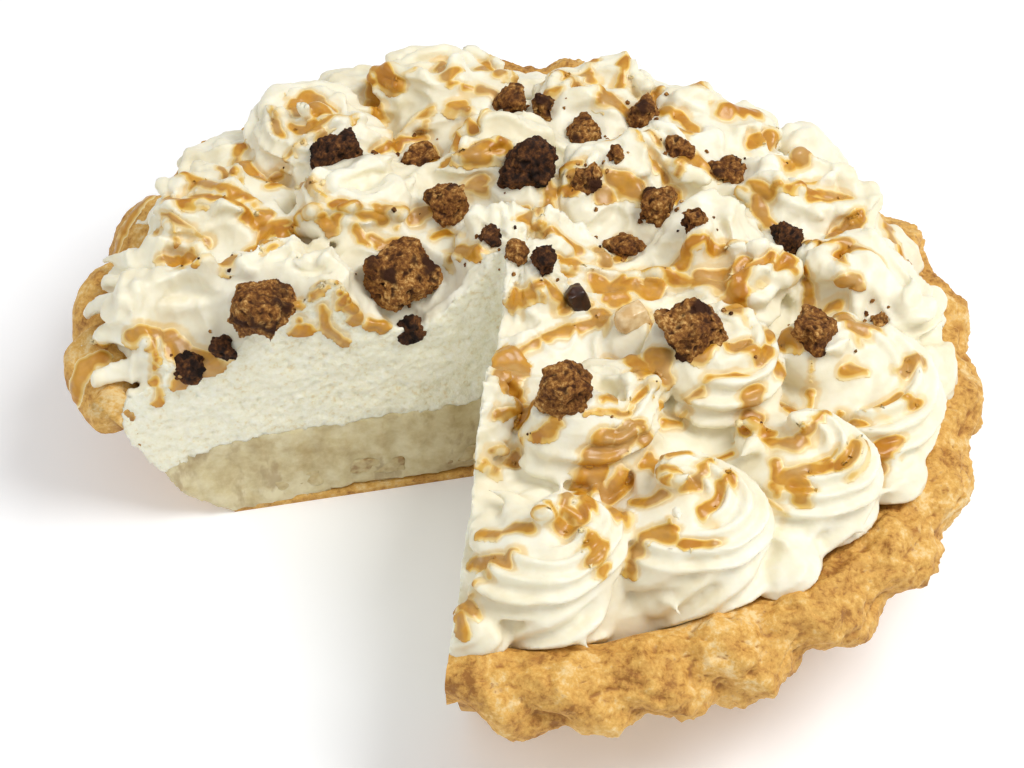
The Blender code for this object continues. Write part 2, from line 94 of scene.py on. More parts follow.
def soft_light(name, place, aim, size, power, colour):
    """A square softbox that points at the pie."""
    lamp = bpy.data.lights.new(name, "AREA")
    lamp.size = size
    lamp.energy = power
    lamp.color = colour
    made = bpy.data.objects.new(name, lamp)
    made.location = place
    made.rotation_euler = (Vector(aim) - Vector(place)).to_track_quat("-Z", "Y").to_euler()
    bpy.context.scene.collection.objects.link(made)


soft_light("softbox_right", (0.47, -0.15, 0.865), (0, 0, 0.05), 0.45, 6.2, (1.0, 0.99, 0.97))
soft_light("softbox_left", (-0.75, -0.35, 0.7), (0, 0, 0.05), 0.7, 1.5, (0.97, 0.985, 1.0))

world = bpy.data.worlds.new("light_tent")
bpy.context.scene.world = world
world.use_nodes = True
world.node_tree.nodes["Background"].inputs["Color"].default_value = (1.0, 1.0, 1.0, 1.0)
world.node_tree.nodes["Background"].inputs["Strength"].default_value = 0.56
bpy.context.scene.view_settings.view_transform = "Standard"

# %% [markdown]
# ## Helpers for meshes
#
# Round things such as the crust, the fillings and each piped rosette are rings of points between a
# lowest and a highest point. One helper skins such rings, so every shape below only has to say where
# its points are.

# %% Skins, cuts and even meshes


def new_object(name, mesh):
    """An object for a mesh, in the scene."""
    made = bpy.data.objects.new(name, mesh)
    bpy.context.scene.collection.objects.link(made)
    return made


def skin(name, first, rings, last):
    """A closed skin over rings of points, with one point before and one after them."""
    count, around = rings.shape[:2]
    points = np.vstack((np.array([first]), rings.reshape(-1, 3), np.array([last])))
    here = np.arange(around)
    beside = np.roll(here, -1)
    faces = [(0, 1 + b, 1 + a) for a, b in zip(here.tolist(), beside.tolist())]
    for ring in range(count - 1):
        low = 1 + ring * around
        high = low + around
        faces += np.stack((low + here, low + beside, high + beside, high + here), axis=1).tolist()
    low = 1 + (count - 1) * around
    faces += [(low + a, low + b, len(points) - 1) for a, b in zip(here.tolist(), beside.tolist())]
    mesh = bpy.data.meshes.new(name)
    mesh.from_pydata(points.tolist(), [], faces)
    cage = bmesh.new()
    cage.from_mesh(mesh)
    bmesh.ops.recalc_face_normals(cage, faces=cage.faces[:])
    cage.to_mesh(mesh)
    cage.free()
    return mesh


def applied(piece):
    """Keep what the modifiers of a piece make, and clear the modifiers."""
    evaluated = piece.evaluated_get(bpy.context.evaluated_depsgraph_get())
    kept = bpy.data.meshes.new_from_object(evaluated)
    piece.modifiers.clear()
    piece.data = kept
    return piece


def even_mesh(piece, spacing):
    """Rebuild a piece as an even net of small squares, which joins all that overlaps."""
    remesh = piece.modifiers.new("even net", "REMESH")
    remesh.mode = "VOXEL"
    remesh.voxel_size = spacing
    return applied(piece)


def cut_with(piece, cutter):
    """Take a cutter out of a piece."""
    cut = piece.modifiers.new("cut", "BOOLEAN")
    cut.operation = "DIFFERENCE"
    cut.solver = "MANIFOLD"
    cut.object = cutter
    return applied(piece)


def mesh_from(cage, name):
    """The mesh of a finished cage of points and faces."""
    mesh = bpy.data.meshes.new(name)
    cage.to_mesh(mesh)
    cage.free()
    return mesh


# %% Points, noise and painted values


def points_of(mesh):
    """The vertices of a mesh as an array."""
    values = np.empty(len(mesh.vertices) * 3, dtype=np.float32)
    mesh.vertices.foreach_get("co", values)
    return values.reshape(-1, 3).astype(float)


def normals_of(mesh):
    """The smooth normals of a mesh as an array."""
    values = np.empty(len(mesh.vertices) * 3, dtype=np.float32)
    mesh.vertex_normals.foreach_get("vector", values)
    return values.reshape(-1, 3).astype(float)


def move_points(mesh, points):
    """Put the vertices of a mesh at new places."""
    mesh.vertices.foreach_set("co", points.astype(np.float32).ravel())
    mesh.update()


def bumps(points, size, seed=0.0):
    """Noise from -1 to 1 at each point, in lumps of about this size."""
    shift = Vector((seed, 1.7 * seed, -0.6 * seed))
    return np.array([noise.noise(Vector(point) / size + shift) for point in points])


def layered(points, *layers):
    """Noise of several sizes added up: each layer is (amount, size in millimetres, seed)."""
    return sum(amount * bumps(points, size * MM, seed) for amount, size, seed in layers)


def cells(points, size, seed=0.0):
    """Distance from each point to the middle of its grain, in grain sizes."""
    shift = Vector((seed, 1.7 * seed, -0.6 * seed))
    return np.array([noise.voronoi(Vector(point) / size + shift)[0][0] for point in points])


def paint(mesh, name, values):
    """Keep one value for each vertex, for a material to read."""
    layer = mesh.attributes.new(name, "FLOAT", "POINT")
    layer.data.foreach_set("value", np.asarray(values, dtype=np.float32))


def smooth_step(low, high, value):
    """0 below low, 1 above high, and a smooth rise between."""
    share = np.clip((value - low) / (high - low), 0.0, 1.0)
    return share * share * (3.0 - 2.0 * share)


def within(value, start, full, full_until, end):
    """1 from full to full_until, 0 before start and after end, and smooth slopes between."""
    return smooth_step(start, full, value) * smooth_step(end, full_until, value)


# %% [markdown]
# ## Materials from nodes
#
# Each food gets its own small tree: noise at the scale of the real texture picks between a few
# sampled colours, and finer noise makes the bump. The helpers below only save typing.

# %% Node helpers


def srgb(red, green, blue):
    """A screen colour as the linear colour that a shader needs."""
    channels = [value / 255.0 for value in (red, green, blue)]
    return tuple(c / 12.92 if c <= 0.04045 else ((c + 0.055) / 1.055) ** 2.4 for c in channels) + (1.0,)


class Finish:
    """A material under construction: its tree, its shader and its coordinates."""

    def __init__(self, name, roughness):
        self.material = bpy.data.materials.new(name)
        self.material.use_nodes = True
        self.tree = self.material.node_tree
        self.shader = self.tree.nodes["Principled BSDF"]
        self.shader.inputs["Roughness"].default_value = roughness
        self.where = self.tree.nodes.new("ShaderNodeTexCoord").outputs["Object"]

    def join(self, source, target):
        """Link two sockets, or set a plain value."""
        if isinstance(source, bpy.types.NodeSocket):
            self.tree.links.new(source, target)
        else:
            target.default_value = source

    def noise(self, size, detail=3.0, roughness=0.5, stretch=(1.0, 1.0, 1.0)):
        """Noise whose lumps are about this size, in metres."""
        scaled = self.tree.nodes.new("ShaderNodeVectorMath")
        scaled.operation = "MULTIPLY"
        self.join(self.where, scaled.inputs[0])
        scaled.inputs[1].default_value = [share / size for share in stretch]
        node = self.tree.nodes.new("ShaderNodeTexNoise")
        node.inputs["Scale"].default_value = 1.0
        node.inputs["Detail"].default_value = detail
        node.inputs["Roughness"].default_value = roughness
        self.join(scaled.outputs[0], node.inputs["Vector"])
        return node.outputs["Fac"]

    def grains(self, size):
        """Distance to the nearest grain's middle."""
        node = self.tree.nodes.new("ShaderNodeTexVoronoi")
        node.inputs["Scale"].default_value = 1.0 / size
        self.join(self.where, node.inputs["Vector"])
        return node.outputs["Distance"]

    def painted(self, name):
        """A value painted on the vertices."""
        node = self.tree.nodes.new("ShaderNodeAttribute")
        node.attribute_name = name
        return node.outputs["Fac"]

    def ramp(self, value, stops):
        """Colours over a value: a list of (position, colour)."""
        node = self.tree.nodes.new("ShaderNodeValToRGB")
        points = node.color_ramp.elements
        while len(points) < len(stops):
            points.new(0.5)
        for point, (position, colour) in zip(points, stops):
            point.position = position
            point.color = colour
        self.join(value, node.inputs["Fac"])
        return node.outputs["Color"]

    def between(self, low, high, value):
        """0 below low and 1 above high, or the other way round when low is the larger."""
        node = self.tree.nodes.new("ShaderNodeMapRange")
        node.interpolation_type = "SMOOTHSTEP"
        self.join(value, node.inputs["Value"])
        node.inputs["From Min"].default_value = low
        node.inputs["From Max"].default_value = high
        return node.outputs["Result"]

    def mix(self, share, first, second):
        """A blend of two colours."""
        node = self.tree.nodes.new("ShaderNodeMix")
        node.data_type = "RGBA"
        self.join(share, node.inputs["Factor"])
        self.join(first, node.inputs["A"])
        self.join(second, node.inputs["B"])
        return node.outputs["Result"]

    def sums(self, *terms):
        """A weighted sum of values: each term is (value, weight)."""
        total = None
        for value, weight in terms:
            node = self.tree.nodes.new("ShaderNodeMath")
            node.operation = "MULTIPLY_ADD"
            self.join(value, node.inputs[0])
            node.inputs[1].default_value = weight
            self.join(total if total is not None else 0.0, node.inputs[2])
            total = node.outputs[0]
        return total

    def product(self, first, second):
        """One value times another."""
        node = self.tree.nodes.new("ShaderNodeMath")
        node.operation = "MULTIPLY"
        self.join(first, node.inputs[0])
        self.join(second, node.inputs[1])
        return node.outputs[0]

    def bump(self, height, strength, distance):
        """Fine relief from a height value."""
        node = self.tree.nodes.new("ShaderNodeBump")
        node.inputs["Strength"].default_value = strength
        node.inputs["Distance"].default_value = distance
        self.join(height, node.inputs["Height"])
        self.join(node.outputs["Normal"], self.shader.inputs["Normal"])

    def colour(self, value):
        """Link the base colour."""
        self.join(value, self.shader.inputs["Base Color"])

    def glow(self, weight, scale, radius):
        """Light that soaks into the surface, as in cream and custard."""
        self.shader.inputs["Subsurface Weight"].default_value = weight
        self.shader.inputs["Subsurface Scale"].default_value = scale
        self.shader.inputs["Subsurface Radius"].default_value = radius


def dress(piece, material, slot, *nodes, body="root"):
    """Give a piece its material, its body and the nodes it stands for; the slot is not used."""
    piece.data.materials.clear()
    piece.data.materials.append(material)
    for polygon in piece.data.polygons:
        polygon.use_smooth = True
    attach(piece, body)
    if nodes:
        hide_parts(*nodes)
    print(piece.name, "has", len(piece.data.polygons), "faces")


# %% Floor
FLOOR_HALF_WIDTH = 2.5
floor_cage = bmesh.new()
bmesh.ops.create_grid(floor_cage, x_segments=8, y_segments=8, size=FLOOR_HALF_WIDTH)
floor = new_object("floor", mesh_from(floor_cage, "floor"))
paper = Finish("white_paper", 0.9)
paper.colour(paper.ramp(paper.noise(0.4), [(0.3, (0.92, 0.935, 0.96, 1)), (0.7, (0.94, 0.955, 0.975, 1))]))
paper.shader.inputs["Emission Color"].default_value = (1.0, 1.0, 1.0, 1.0)
paper.shader.inputs["Emission Strength"].default_value = 0.13
floor.data.materials.append(paper.material)
print("floor:", 2 * FLOOR_HALF_WIDTH, "m wide")

# %% [markdown]
# ## The missing slice
#
# Both cuts are straight and meet at a tip a little off the centre. One tall wedge, placed as in the
# model's source, takes the slice out of every layer.

# %% The wedge and the two cut faces
SLICE_TIP = np.array((-3.5 * MM, 0.0))
SLICE_START = math.radians(191.7)
SLICE_END = math.radians(263.0)
WEDGE_REACH = 0.2
WEDGE_BOTTOM, WEDGE_HEIGHT = -0.1, 0.3


def toward(angle):
    """A direction on the table."""
    return np.array((math.cos(angle), math.sin(angle)))


def wedge():
    """The tall wedge that is missing from the pie."""
    cage = bmesh.new()
    corners = [SLICE_TIP]
    for angle in (SLICE_START, 0.5 * (SLICE_START + SLICE_END), SLICE_END):
        corners.append(SLICE_TIP + WEDGE_REACH * toward(angle))
    face = cage.faces.new([cage.verts.new((*corner, WEDGE_BOTTOM)) for corner in corners])
    grown = bmesh.ops.extrude_face_region(cage, geom=[face])
    top = [item for item in grown["geom"] if isinstance(item, bmesh.types.BMVert)]
    bmesh.ops.translate(cage, verts=top, vec=(0.0, 0.0, WEDGE_HEIGHT))
    bmesh.ops.recalc_face_normals(cage, faces=cage.faces[:])
    return new_object("wedge", mesh_from(cage, "wedge"))


missing_slice = wedge()
print("missing slice:", round(math.degrees(SLICE_END - SLICE_START), 1), "degrees")


def near_cuts(points, facing, spread):
    """1 on either cut face and 0 away from it, for points whose normals face the gap."""
    weight = np.zeros(len(points))
    for angle, side in ((SLICE_START, 1.0), (SLICE_END, -1.0)):
        along = toward(angle)
        out = side * np.array((-along[1], along[0]))
        behind = (points[:, :2] - SLICE_TIP) @ out
        forward = (points[:, :2] - SLICE_TIP) @ along
        face = smooth_step(0.35, 0.75, facing[:, :2] @ out) * smooth_step(-1.5 * MM, 1.0 * MM, forward)
        weight = np.maximum(weight, np.exp(-(behind / spread) ** 2) * face)
    return weight


def joined(name, meshes):
    """One object with the skins of many meshes."""
    cage = bmesh.new()
    for mesh in meshes:
        cage.from_mesh(mesh)
    return new_object(name, mesh_from(cage, name))


# %% [markdown]
# At the left end of the cut, the knife dragged cream and custard over the edge of the crust, so no
# pastry shows there. A thin slab over the cut, melted together with each filling, does the same.

# %% Fillings dragged over the crust's edge
# outlines on the cut: (distance from the centre, height), in millimetres
CREAM_SMEAR = ((93, 21.5), (99.4, 21), (104.5, 31), (107.5, 36.5), (108.5, 44), (106, 50), (100, 54),
               (93, 54))
CUSTARD_SMEAR = ((50, 3.4), (62, 2.0), (76, 0.9), (81.8, 0.7), (93.8, 10), (99.6, 21.5), (93, 23), (86, 11),
                 (78, 5.5), (50, 5.0))
# along the cut, from the slice's tip to the point nearest the pie's centre
TIP_TO_MIDDLE = 3.4
SMEAR_DEPTH, SMEAR_PROUD = 2.6 * MM, 0.5 * MM


def smear(corners):
    """A thin slab over the start cut, a little proud of the crust."""
    along = toward(SLICE_START)
    out = np.array((-along[1], along[0]))
    cage = bmesh.new()
    ends = []
    for depth in (-SMEAR_DEPTH, SMEAR_PROUD):
        ends.append([cage.verts.new((*(SLICE_TIP + along * (r - TIP_TO_MIDDLE) * MM + out * depth), z * MM))
                     for r, z in corners])
    cage.faces.new(ends[0])
    cage.faces.new(ends[1][::-1])
    for a, b, c, d in zip(ends[0], ends[0][1:] + ends[0][:1], ends[1][1:] + ends[1][:1], ends[1]):
        cage.faces.new((a, d, c, b))
    bmesh.ops.recalc_face_normals(cage, faces=cage.faces[:])
    return mesh_from(cage, "smear")


def smeared_over(piece, corners, spacing):
    """The piece melted together with its smear."""
    name = piece.name
    both = joined(name + " smeared", [piece.data, smear(corners)])
    bpy.data.objects.remove(piece)
    both.name = name
    return even_mesh(both, spacing)


# %% [markdown]
# ## The crust
#
# The crust is a turned dish with a fat rolled rim, pinched into lobes by the baker's fingers. The
# source gives the rim its crimps at the angles seen on the pie. The same crimps are used here on a
# ten times finer net, with flaky crags on top of them.

# %% Crimps
CRIMP_CENTRES = (9.4, 24.9, 39, 54, 69, 84, 99, 113.4, 129, 143.5, 157.7, 172.5, 184.7, 199, 213, 227,
                 241, 255, 268, 278.5, 288, 298.9, 310.6, 324.6, 337, 352.5)
print("crimps in the rim:", len(CRIMP_CENTRES))


def crimp(angle):
    """1 on the crown of a crimp in the rim, 0 in the pinch between two."""
    turn = math.degrees(angle) % 360.0
    centres = [CRIMP_CENTRES[-1] - 360.0, *CRIMP_CENTRES, CRIMP_CENTRES[0] + 360.0]
    for start, end in zip(centres, centres[1:]):
        if start <= turn <= end:
            return (0.5 + 0.5 * math.cos(TURN * (turn - start) / (end - start))) ** 0.8
    return 1.0


# %% [markdown]
# Baked pastry isn't smooth at any scale. Large crags and lumps come from two sizes of noise, blisters
# from cell noise, and folds and flakes from the lines where a noise passes through a whole number, as
# the edges of thin layers do. All of it fades out where the rim is hidden under the filling.

# %% Relief of the pastry


def pastry_relief(place, outside):
    """How far crags, folds, blisters and flakes stand off the rim, in metres."""
    stretched = Vector((place.x, place.y, 2.0 * place.z))
    crag = 1.9 * noise.noise(place / (10 * MM))
    lump = 1.5 * noise.noise(place / (4.8 * MM) + Vector((3, 9, 1)))
    fold = max(0.0, 1.0 - 5.0 * abs(noise.noise(stretched / (15 * MM) + Vector((7, 0, 3)))))
    layers = 2.6 * noise.noise(stretched / (6.5 * MM) + Vector((1, 5, 9)))
    flaky = abs(layers - round(layers))
    blister = max(0.0, 0.5 - noise.voronoi(place / (6.5 * MM))[0][0])
    fine = 0.75 * noise.noise(place / (2.3 * MM)) + 0.34 * noise.noise(place / (1.1 * MM))
    rise = crag + lump + 1.8 * blister + fine - 0.8 * fold - 0.9 * flaky
    return MM * outside * rise


# %% [markdown]
# No hand-rolled rim is even. On this pie it is smoother and deeper pinched at the left, slim where the
# knife pressed on it beside both cuts, fuller at the front right, and drawn in at the back, where the
# cream runs over it. Each such stretch is written down in degrees round the pie.

# %% Places on the rim
RIM_CENTRE_RADIUS = 113.5 * MM
RIM_ROLL_RADIUS = 11.5 * MM
RIM_HEIGHT = 45.0 * MM
# crags beyond this edge of the model's square box are pressed together into the spare width outside it
RIM_EDGE, RIM_SPARE = 121.6 * MM, 2.0 * MM
# stretches in degrees: where each starts, is full, is full until, and ends
SMOOTH_LOBES = (138.0, 152.0, 200.0, 225.0)
SLIM_AT_START_CUT = (178.0, 189.0, 200.0, 230.0)
SLIM_AT_END_CUT = (230.0, 250.0, 263.5, 270.0)
SLIMMEST = (230.0, 250.0, 263.0, 267.0)
# humps: the middle and half the width in degrees, and how far the rim stands out there
FRONT_RIGHT, FRONT_RIGHT_OUT = (325.0, 15.0), 3.0 * MM
BACK, BACK_IN, BACK_DOWN = (50.0, 23.0), 10.0 * MM, 3.0 * MM
FLAKE_ANGLE, FLAKE_REACH = math.radians(296.6), 6.0 * MM


def hump(turn, middle, half_width):
    """1 at the middle of a stretch of the rim, falling to 0 on both sides."""
    return math.exp(-((turn - middle) / half_width) ** 2)


def rim_point(radius, height, angle):
    """Move a point of the round rim to where the crimps, crags and flakes put it."""
    across, up = radius - RIM_CENTRE_RADIUS, height - RIM_HEIGHT
    roll_angle, reach = math.atan2(up, across), math.hypot(across, up)
    pinch = 1.0 - crimp(angle + math.radians(3.5) * math.sin(roll_angle))
    outside = float(smooth_step(-0.9 * RIM_ROLL_RADIUS, -0.2 * RIM_ROLL_RADIUS, across))
    place = Vector((radius * math.cos(angle), radius * math.sin(angle), height))
    flake = FLAKE_REACH * hump(angle, FLAKE_ANGLE, 0.045) * hump(roll_angle, math.radians(-48.0), 0.5)
    turn = math.degrees(angle)
    calm = float(within(turn, *SMOOTH_LOBES))
    reach += (1.0 - 0.62 * calm) * pastry_relief(place, outside) + flake
    reach -= (2.2 + 2.6 * calm) * MM * pinch * reach / RIM_ROLL_RADIUS
    underside = 0.5 + 0.5 * math.cos(roll_angle + math.radians(40.0))
    slim = float(within(turn, *SLIM_AT_START_CUT) + within(turn, *SLIM_AT_END_CUT))
    reach *= 1.0 - (0.42 * slim + 0.22 * float(within(turn, *SLIMMEST))) * underside
    centre = RIM_CENTRE_RADIUS - (2.0 + 1.2 * calm) * MM * pinch
    centre += FRONT_RIGHT_OUT * hump(turn, *FRONT_RIGHT) - BACK_IN * hump(turn, *BACK)
    distance = centre + reach * math.cos(roll_angle)
    beyond = max(0.0, distance - RIM_EDGE / max(abs(math.cos(angle)), abs(math.sin(angle))))
    distance += RIM_SPARE * math.tanh(beyond / RIM_SPARE) - beyond
    return distance, RIM_HEIGHT - BACK_DOWN * hump(turn, *BACK) + reach * math.sin(roll_angle)


# %% [markdown]
# The section of the dish runs from the middle of its floor up the inner wall, round the roll and back
# underneath. It is turned in 1200 steps, so that a crag of two millimetres has several points.

# %% Rings of the crust
CRUST_COLUMNS = 1200
ROLL_ROWS = 96
INNER_WALL = ((78.5, 3.0), (90.0, 11.0), (95.5, 20.0), (98.0, 26.0))
OUTER_WALL = ((98.8, 20.9), (93.0, 9.8), (81.0, 0.0))
FLOOR_EDGE, FLOOR_TOP = 10.0, 3.0


def along_corners(corners, rows):
    """Points in millimetres spread evenly on straight lines between corners."""
    made = []
    for (r0, z0), (r1, z1) in zip(corners, corners[1:]):
        for share in np.linspace(0.0, 1.0, rows, endpoint=False):
            made.append(((r0 + (r1 - r0) * share) * MM, (z0 + (z1 - z0) * share) * MM))
    return made


def crust_profile():
    """The section of the dish from the middle of its floor, over the rim and back underneath."""
    roll = np.radians(np.linspace(208.0, -126.0, ROLL_ROWS))
    rim = [(RIM_CENTRE_RADIUS + RIM_ROLL_RADIUS * math.cos(a), RIM_HEIGHT + RIM_ROLL_RADIUS * math.sin(a))
           for a in roll]
    inside = along_corners(((FLOOR_EDGE, FLOOR_TOP), *INNER_WALL), 6)
    outside = along_corners((*OUTER_WALL, (FLOOR_EDGE, 0.0)), 9)
    return [*inside, *rim, *outside]


def crust_rings():
    """All points of the crust, ring by ring."""
    angles = np.linspace(0.0, TURN, CRUST_COLUMNS, endpoint=False)
    rings = []
    for radius, height in crust_profile():
        ring = []
        for angle in angles:
            r, z = radius, height
            if height > RIM_HEIGHT - RIM_ROLL_RADIUS - MM:
                r, z = rim_point(radius, height, angle)
            elif radius > 79 * MM:
                place = Vector((r * math.cos(angle), r * math.sin(angle), z))
                r += 0.5 * MM * noise.noise(place / (7 * MM)) + 0.25 * MM * noise.noise(place / (2 * MM))
            ring.append((r * math.cos(angle), r * math.sin(angle), z))
        rings.append(ring)
    return np.array(rings)


crust = new_object("crust_pastry", skin("crust_pastry", (0, 0, FLOOR_TOP * MM), crust_rings(), (0, 0, 0)))
cut_with(crust, missing_slice)

# %% Creases for the painted shade in the finish


def creases(mesh, rounds):
    """0 to 1: how far each point lies inside the average of its surroundings."""
    edges = np.array([edge.vertices[:] for edge in mesh.edges])
    edges = np.vstack((edges, edges[:, ::-1]))
    number = np.maximum(np.bincount(edges[:, 0], minlength=len(mesh.vertices)), 1)
    points = points_of(mesh)
    average = points.copy()
    for _ in range(rounds):
        average = np.stack([np.bincount(edges[:, 0], weights=average[edges[:, 1], axis],
                                        minlength=len(points)) / number for axis in range(3)], axis=1)
    inward = ((average - points) * normals_of(mesh)).sum(axis=1)
    return np.clip(inward / (0.6 * MM), 0.0, 1.0)


crease_shade = creases(crust.data, 8)
# painted shade: how deep each point lies in a crease, read by the finish below
paint(crust.data, "crease", crease_shade)
print("share of the pastry that lies in creases:", round(float((crease_shade > 0.5).mean()), 3))

# %% [markdown]
# Baked pastry is pale where it stayed soft, golden over the crowns and brown on edges that stood
# nearest the heat. Three sizes of noise pick between those, and dark toasted dots are added sparsely.
# Points that lie deep in creases are painted a darker brown as well, which is painted shade.

# %% Crust finish
pastry = Finish("baked_pastry", 0.6)
broad = pastry.noise(15 * MM, 3.0, 0.55)
spots = pastry.noise(4.5 * MM, 4.0, 0.6)
flecks = pastry.noise(1.5 * MM, 4.0, 0.7)
tone = pastry.sums((broad, 0.36), (spots, 0.30), (flecks, 0.34))
golden = pastry.ramp(tone, [(0.40, srgb(156, 104, 44)), (0.46, srgb(200, 148, 72)),
                            (0.53, srgb(224, 176, 92)), (0.60, srgb(236, 206, 148))])
toast = pastry.between(0.58, 0.70, pastry.noise(6 * MM, 5.0, 0.7))
# painted shade: points deep in creases are mixed towards a darker brown
dips = pastry.between(0.3, 1.1, pastry.painted("crease"))
pastry.colour(pastry.mix(dips, pastry.mix(toast, golden, srgb(172, 116, 50)), srgb(160, 108, 52)))
grainy = pastry.sums((pastry.noise(1.6 * MM, 5.0, 0.7), 0.6), (pastry.noise(0.6 * MM, 3.0), 0.3),
                     (pastry.grains(1.8 * MM), 0.2))
pastry.bump(grainy, 1.0, 0.7 * MM)
pastry.shader.inputs["Specular IOR Level"].default_value = 0.3
dress(crust, pastry.material, "baked_crust", "crust")

# %% [markdown]
# ## Custard and banana
#
# The custard is set but wet, so its cut face is smooth, glossy and slightly slumped between the
# banana slices. It is made from the same turned section as in the source, cut, and rebuilt as an
# even net, so the cut face has points enough to slump.

# %% Custard form
CUSTARD_SPACING = 1.0 * MM


def custard_top(radius, x, y):
    """Height of the custard: lower at the crust, raised at the slice's tip, ragged where it was stirred."""
    drop = 4.0 * float(smooth_step(61.0 * MM, 98.0 * MM, radius))
    rise = 8.0 * math.exp(-(radius / (11.0 * MM)) ** 2)
    place = Vector((x, y, 0.0))
    wave = 1.3 * noise.noise(place / (22.0 * MM))
    ragged = 0.9 * noise.noise(place / (6.0 * MM)) + 0.6 * noise.noise(place / (2.6 * MM))
    return (30.0 - drop + rise + wave + ragged) * MM


def turned_rings(profile, columns):
    """Rings of points turned from a profile of (radius, height or function) pairs."""
    angles = np.linspace(0.0, TURN, columns, endpoint=False)
    rings = []
    for radius, height in profile:
        ring = []
        for angle in angles:
            x, y = radius * math.cos(angle), radius * math.sin(angle)
            ring.append((x, y, height(radius, x, y) if callable(height) else height))
        rings.append(ring)
    return np.array(rings)


def custard_skin():
    """The whole custard before the slice is taken."""
    side = [(97.7, 27.0), (95.0, 20.3), (89.5, 11.3), (78.0, 3.3), (40.0, 3.3), (2.0, 3.3)]
    top = [(radius * MM, custard_top) for radius in np.linspace(1.5, 97.0, 64)]
    rings = turned_rings([*top, *((r * MM, z * MM) for r, z in side)], 320)
    return skin("custard", (0, 0, custard_top(0, 0, 0)), rings, (0, 0, 3.3 * MM))


custard = new_object("custard", custard_skin())
cut_with(custard, missing_slice)
custard = smeared_over(custard, CUSTARD_SMEAR, CUSTARD_SPACING)

# %% Slumped cut face
custard_points, custard_normals = points_of(custard.data), normals_of(custard.data)
on_cut = near_cuts(custard_points, custard_normals, 2.0 * MM)
cut_rows = on_cut > 0.01
smeared = custard_points[cut_rows] * np.array((1.0, 1.0, 0.55))
slump = 0.3 + layered(smeared, (1.2, 9, 0.0), (0.5, 4, 5.0), (0.15, 1.6, 9.0))
custard_points[cut_rows] -= custard_normals[cut_rows] * (on_cut[cut_rows] * slump * MM)[:, None]
move_points(custard.data, custard_points)
print("custard points on the cut:", int(cut_rows.sum()))

# %% [markdown]
# Custard in the photograph is greyer than its name suggests: a pale tan with a hint of green. It lets
# light in a little, and a low roughness gives the wet look.

# %% Custard finish
set_custard = Finish("banana_custard", 0.3)
cloud = set_custard.sums((set_custard.noise(14 * MM, 2.0), 0.5), (set_custard.noise(4 * MM, 4.0, 0.6), 0.5))
plain_custard = set_custard.ramp(cloud, [(0.36, srgb(178, 157, 110)), (0.5, srgb(203, 188, 144)),
                                         (0.64, srgb(220, 209, 172))])
streaks = set_custard.noise(8 * MM, 4.0, 0.6, (1.0, 1.0, 0.5))
bruised = set_custard.sums((set_custard.between(0.55, 0.68, streaks), 0.65))
set_custard.colour(set_custard.mix(bruised, plain_custard, srgb(158, 134, 92)))
set_custard.glow(0.25, 3 * MM, (1.0, 0.7, 0.35))
set_custard.bump(set_custard.noise(2.2 * MM, 3.0), 0.25, 0.4 * MM)
dress(custard, set_custard.material, "banana_custard", "custard_filling")

# %% [markdown]
# Only the edges of a few banana pieces show in the custard, brown where air reached them. They keep the
# places and outlines of the model, softened by a little noise.

# %% Banana slices
BANANA_SPACING = 0.6 * MM
BANANAS = [f"banana_slice_{number}" for number in range(1, 6)]
banana = Finish("ripe_banana", 0.38)
flesh = banana.sums((banana.noise(5 * MM, 3.0), 0.6), (banana.noise(1.6 * MM, 3.0), 0.4))
banana.colour(banana.ramp(flesh, [(0.38, srgb(156, 126, 80)), (0.47, srgb(188, 168, 120)),
                                  (0.62, srgb(206, 191, 148))]))
banana.glow(0.2, 2 * MM, (1.0, 0.6, 0.3))
banana.bump(banana.noise(1.2 * MM, 3.0), 0.3, 0.3 * MM)


def even_copy(node, new_name, spacing):
    """A node's copy as an even net, with its points and its smooth normals."""
    copied = new_object(new_name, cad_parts[node].data.copy())
    even_mesh(copied, spacing)
    return copied, points_of(copied.data), normals_of(copied.data)


for index, node in enumerate(BANANAS):
    piece, places, outward = even_copy(node, "soft_" + node, BANANA_SPACING)
    lumps = layered(places, (0.45, 4, index), (0.2, 1.5, 3 + index)) - 0.15
    move_points(piece.data, places + outward * (lumps * MM)[:, None])
    dress(piece, banana.material, "banana_flesh", node)

# %% [markdown]
# ## Whipped and piped cream
#
# One body of cream: a domed layer on the custard, and rosettes piped on it with a star nozzle. A
# nozzle leaves round ropes with sharp creases between them, and the twist of the hand winds the ropes
# up to a leaning peak. Each rosette is made from rings whose radius follows the ropes, then all are
# melted together by an even net, which rounds the creases as cream does.

# %% Places of the rosettes
# angle round the pie, distance from its centre, width, height of the peak, where its rope starts
OUTER_ROSETTES = (
    (275, 86, 50, 85, 195), (298, 87, 52, 86, 205), (320, 90, 51, 84, 215), (342, 92, 53, 84, 250),
    (4, 89, 51, 83, 275), (27, 85, 51, 82, 300), (50, 78, 50, 82, 320), (75, 80, 52, 82, 350),
    (103, 86, 53, 83, 20), (131, 87, 53, 83, 40), (157, 88, 52, 83, 60), (180, 88, 49, 82, 90),
    (202, 87, 46, 83, 100))
INNER_ROSETTES = (
    (291, 51, 50, 84, 210), (331, 53, 52, 84, 240), (10, 51, 52, 82, 280), (54, 50, 52, 84, 330),
    (97, 50, 53, 82, 10), (140, 51, 52, 83, 50), (181, 53, 50, 81, 100), (216, 50, 44, 81, 120),
    (251, 50, 45, 83, 170), (60, 10, 48, 82, 0))
SMALL_ROSETTES = (
    (89, 95, 32, 68, 30), (117, 102, 36, 68, 60), (143, 103, 36, 68, 80), (168, 101, 28, 68, 90),
    (264.5, 103, 19, 66, 190), (309, 104, 24, 66, 220), (331, 106, 26, 66, 240), (352, 105, 26, 67, 280),
    (15, 103, 26, 67, 300), (40, 104, 32, 67, 320), (53, 101, 34, 67, 0), (66, 99, 34, 68, 10),
    (78, 97, 30, 67, 20))
LARGE_ROSETTES = OUTER_ROSETTES + INNER_ROSETTES
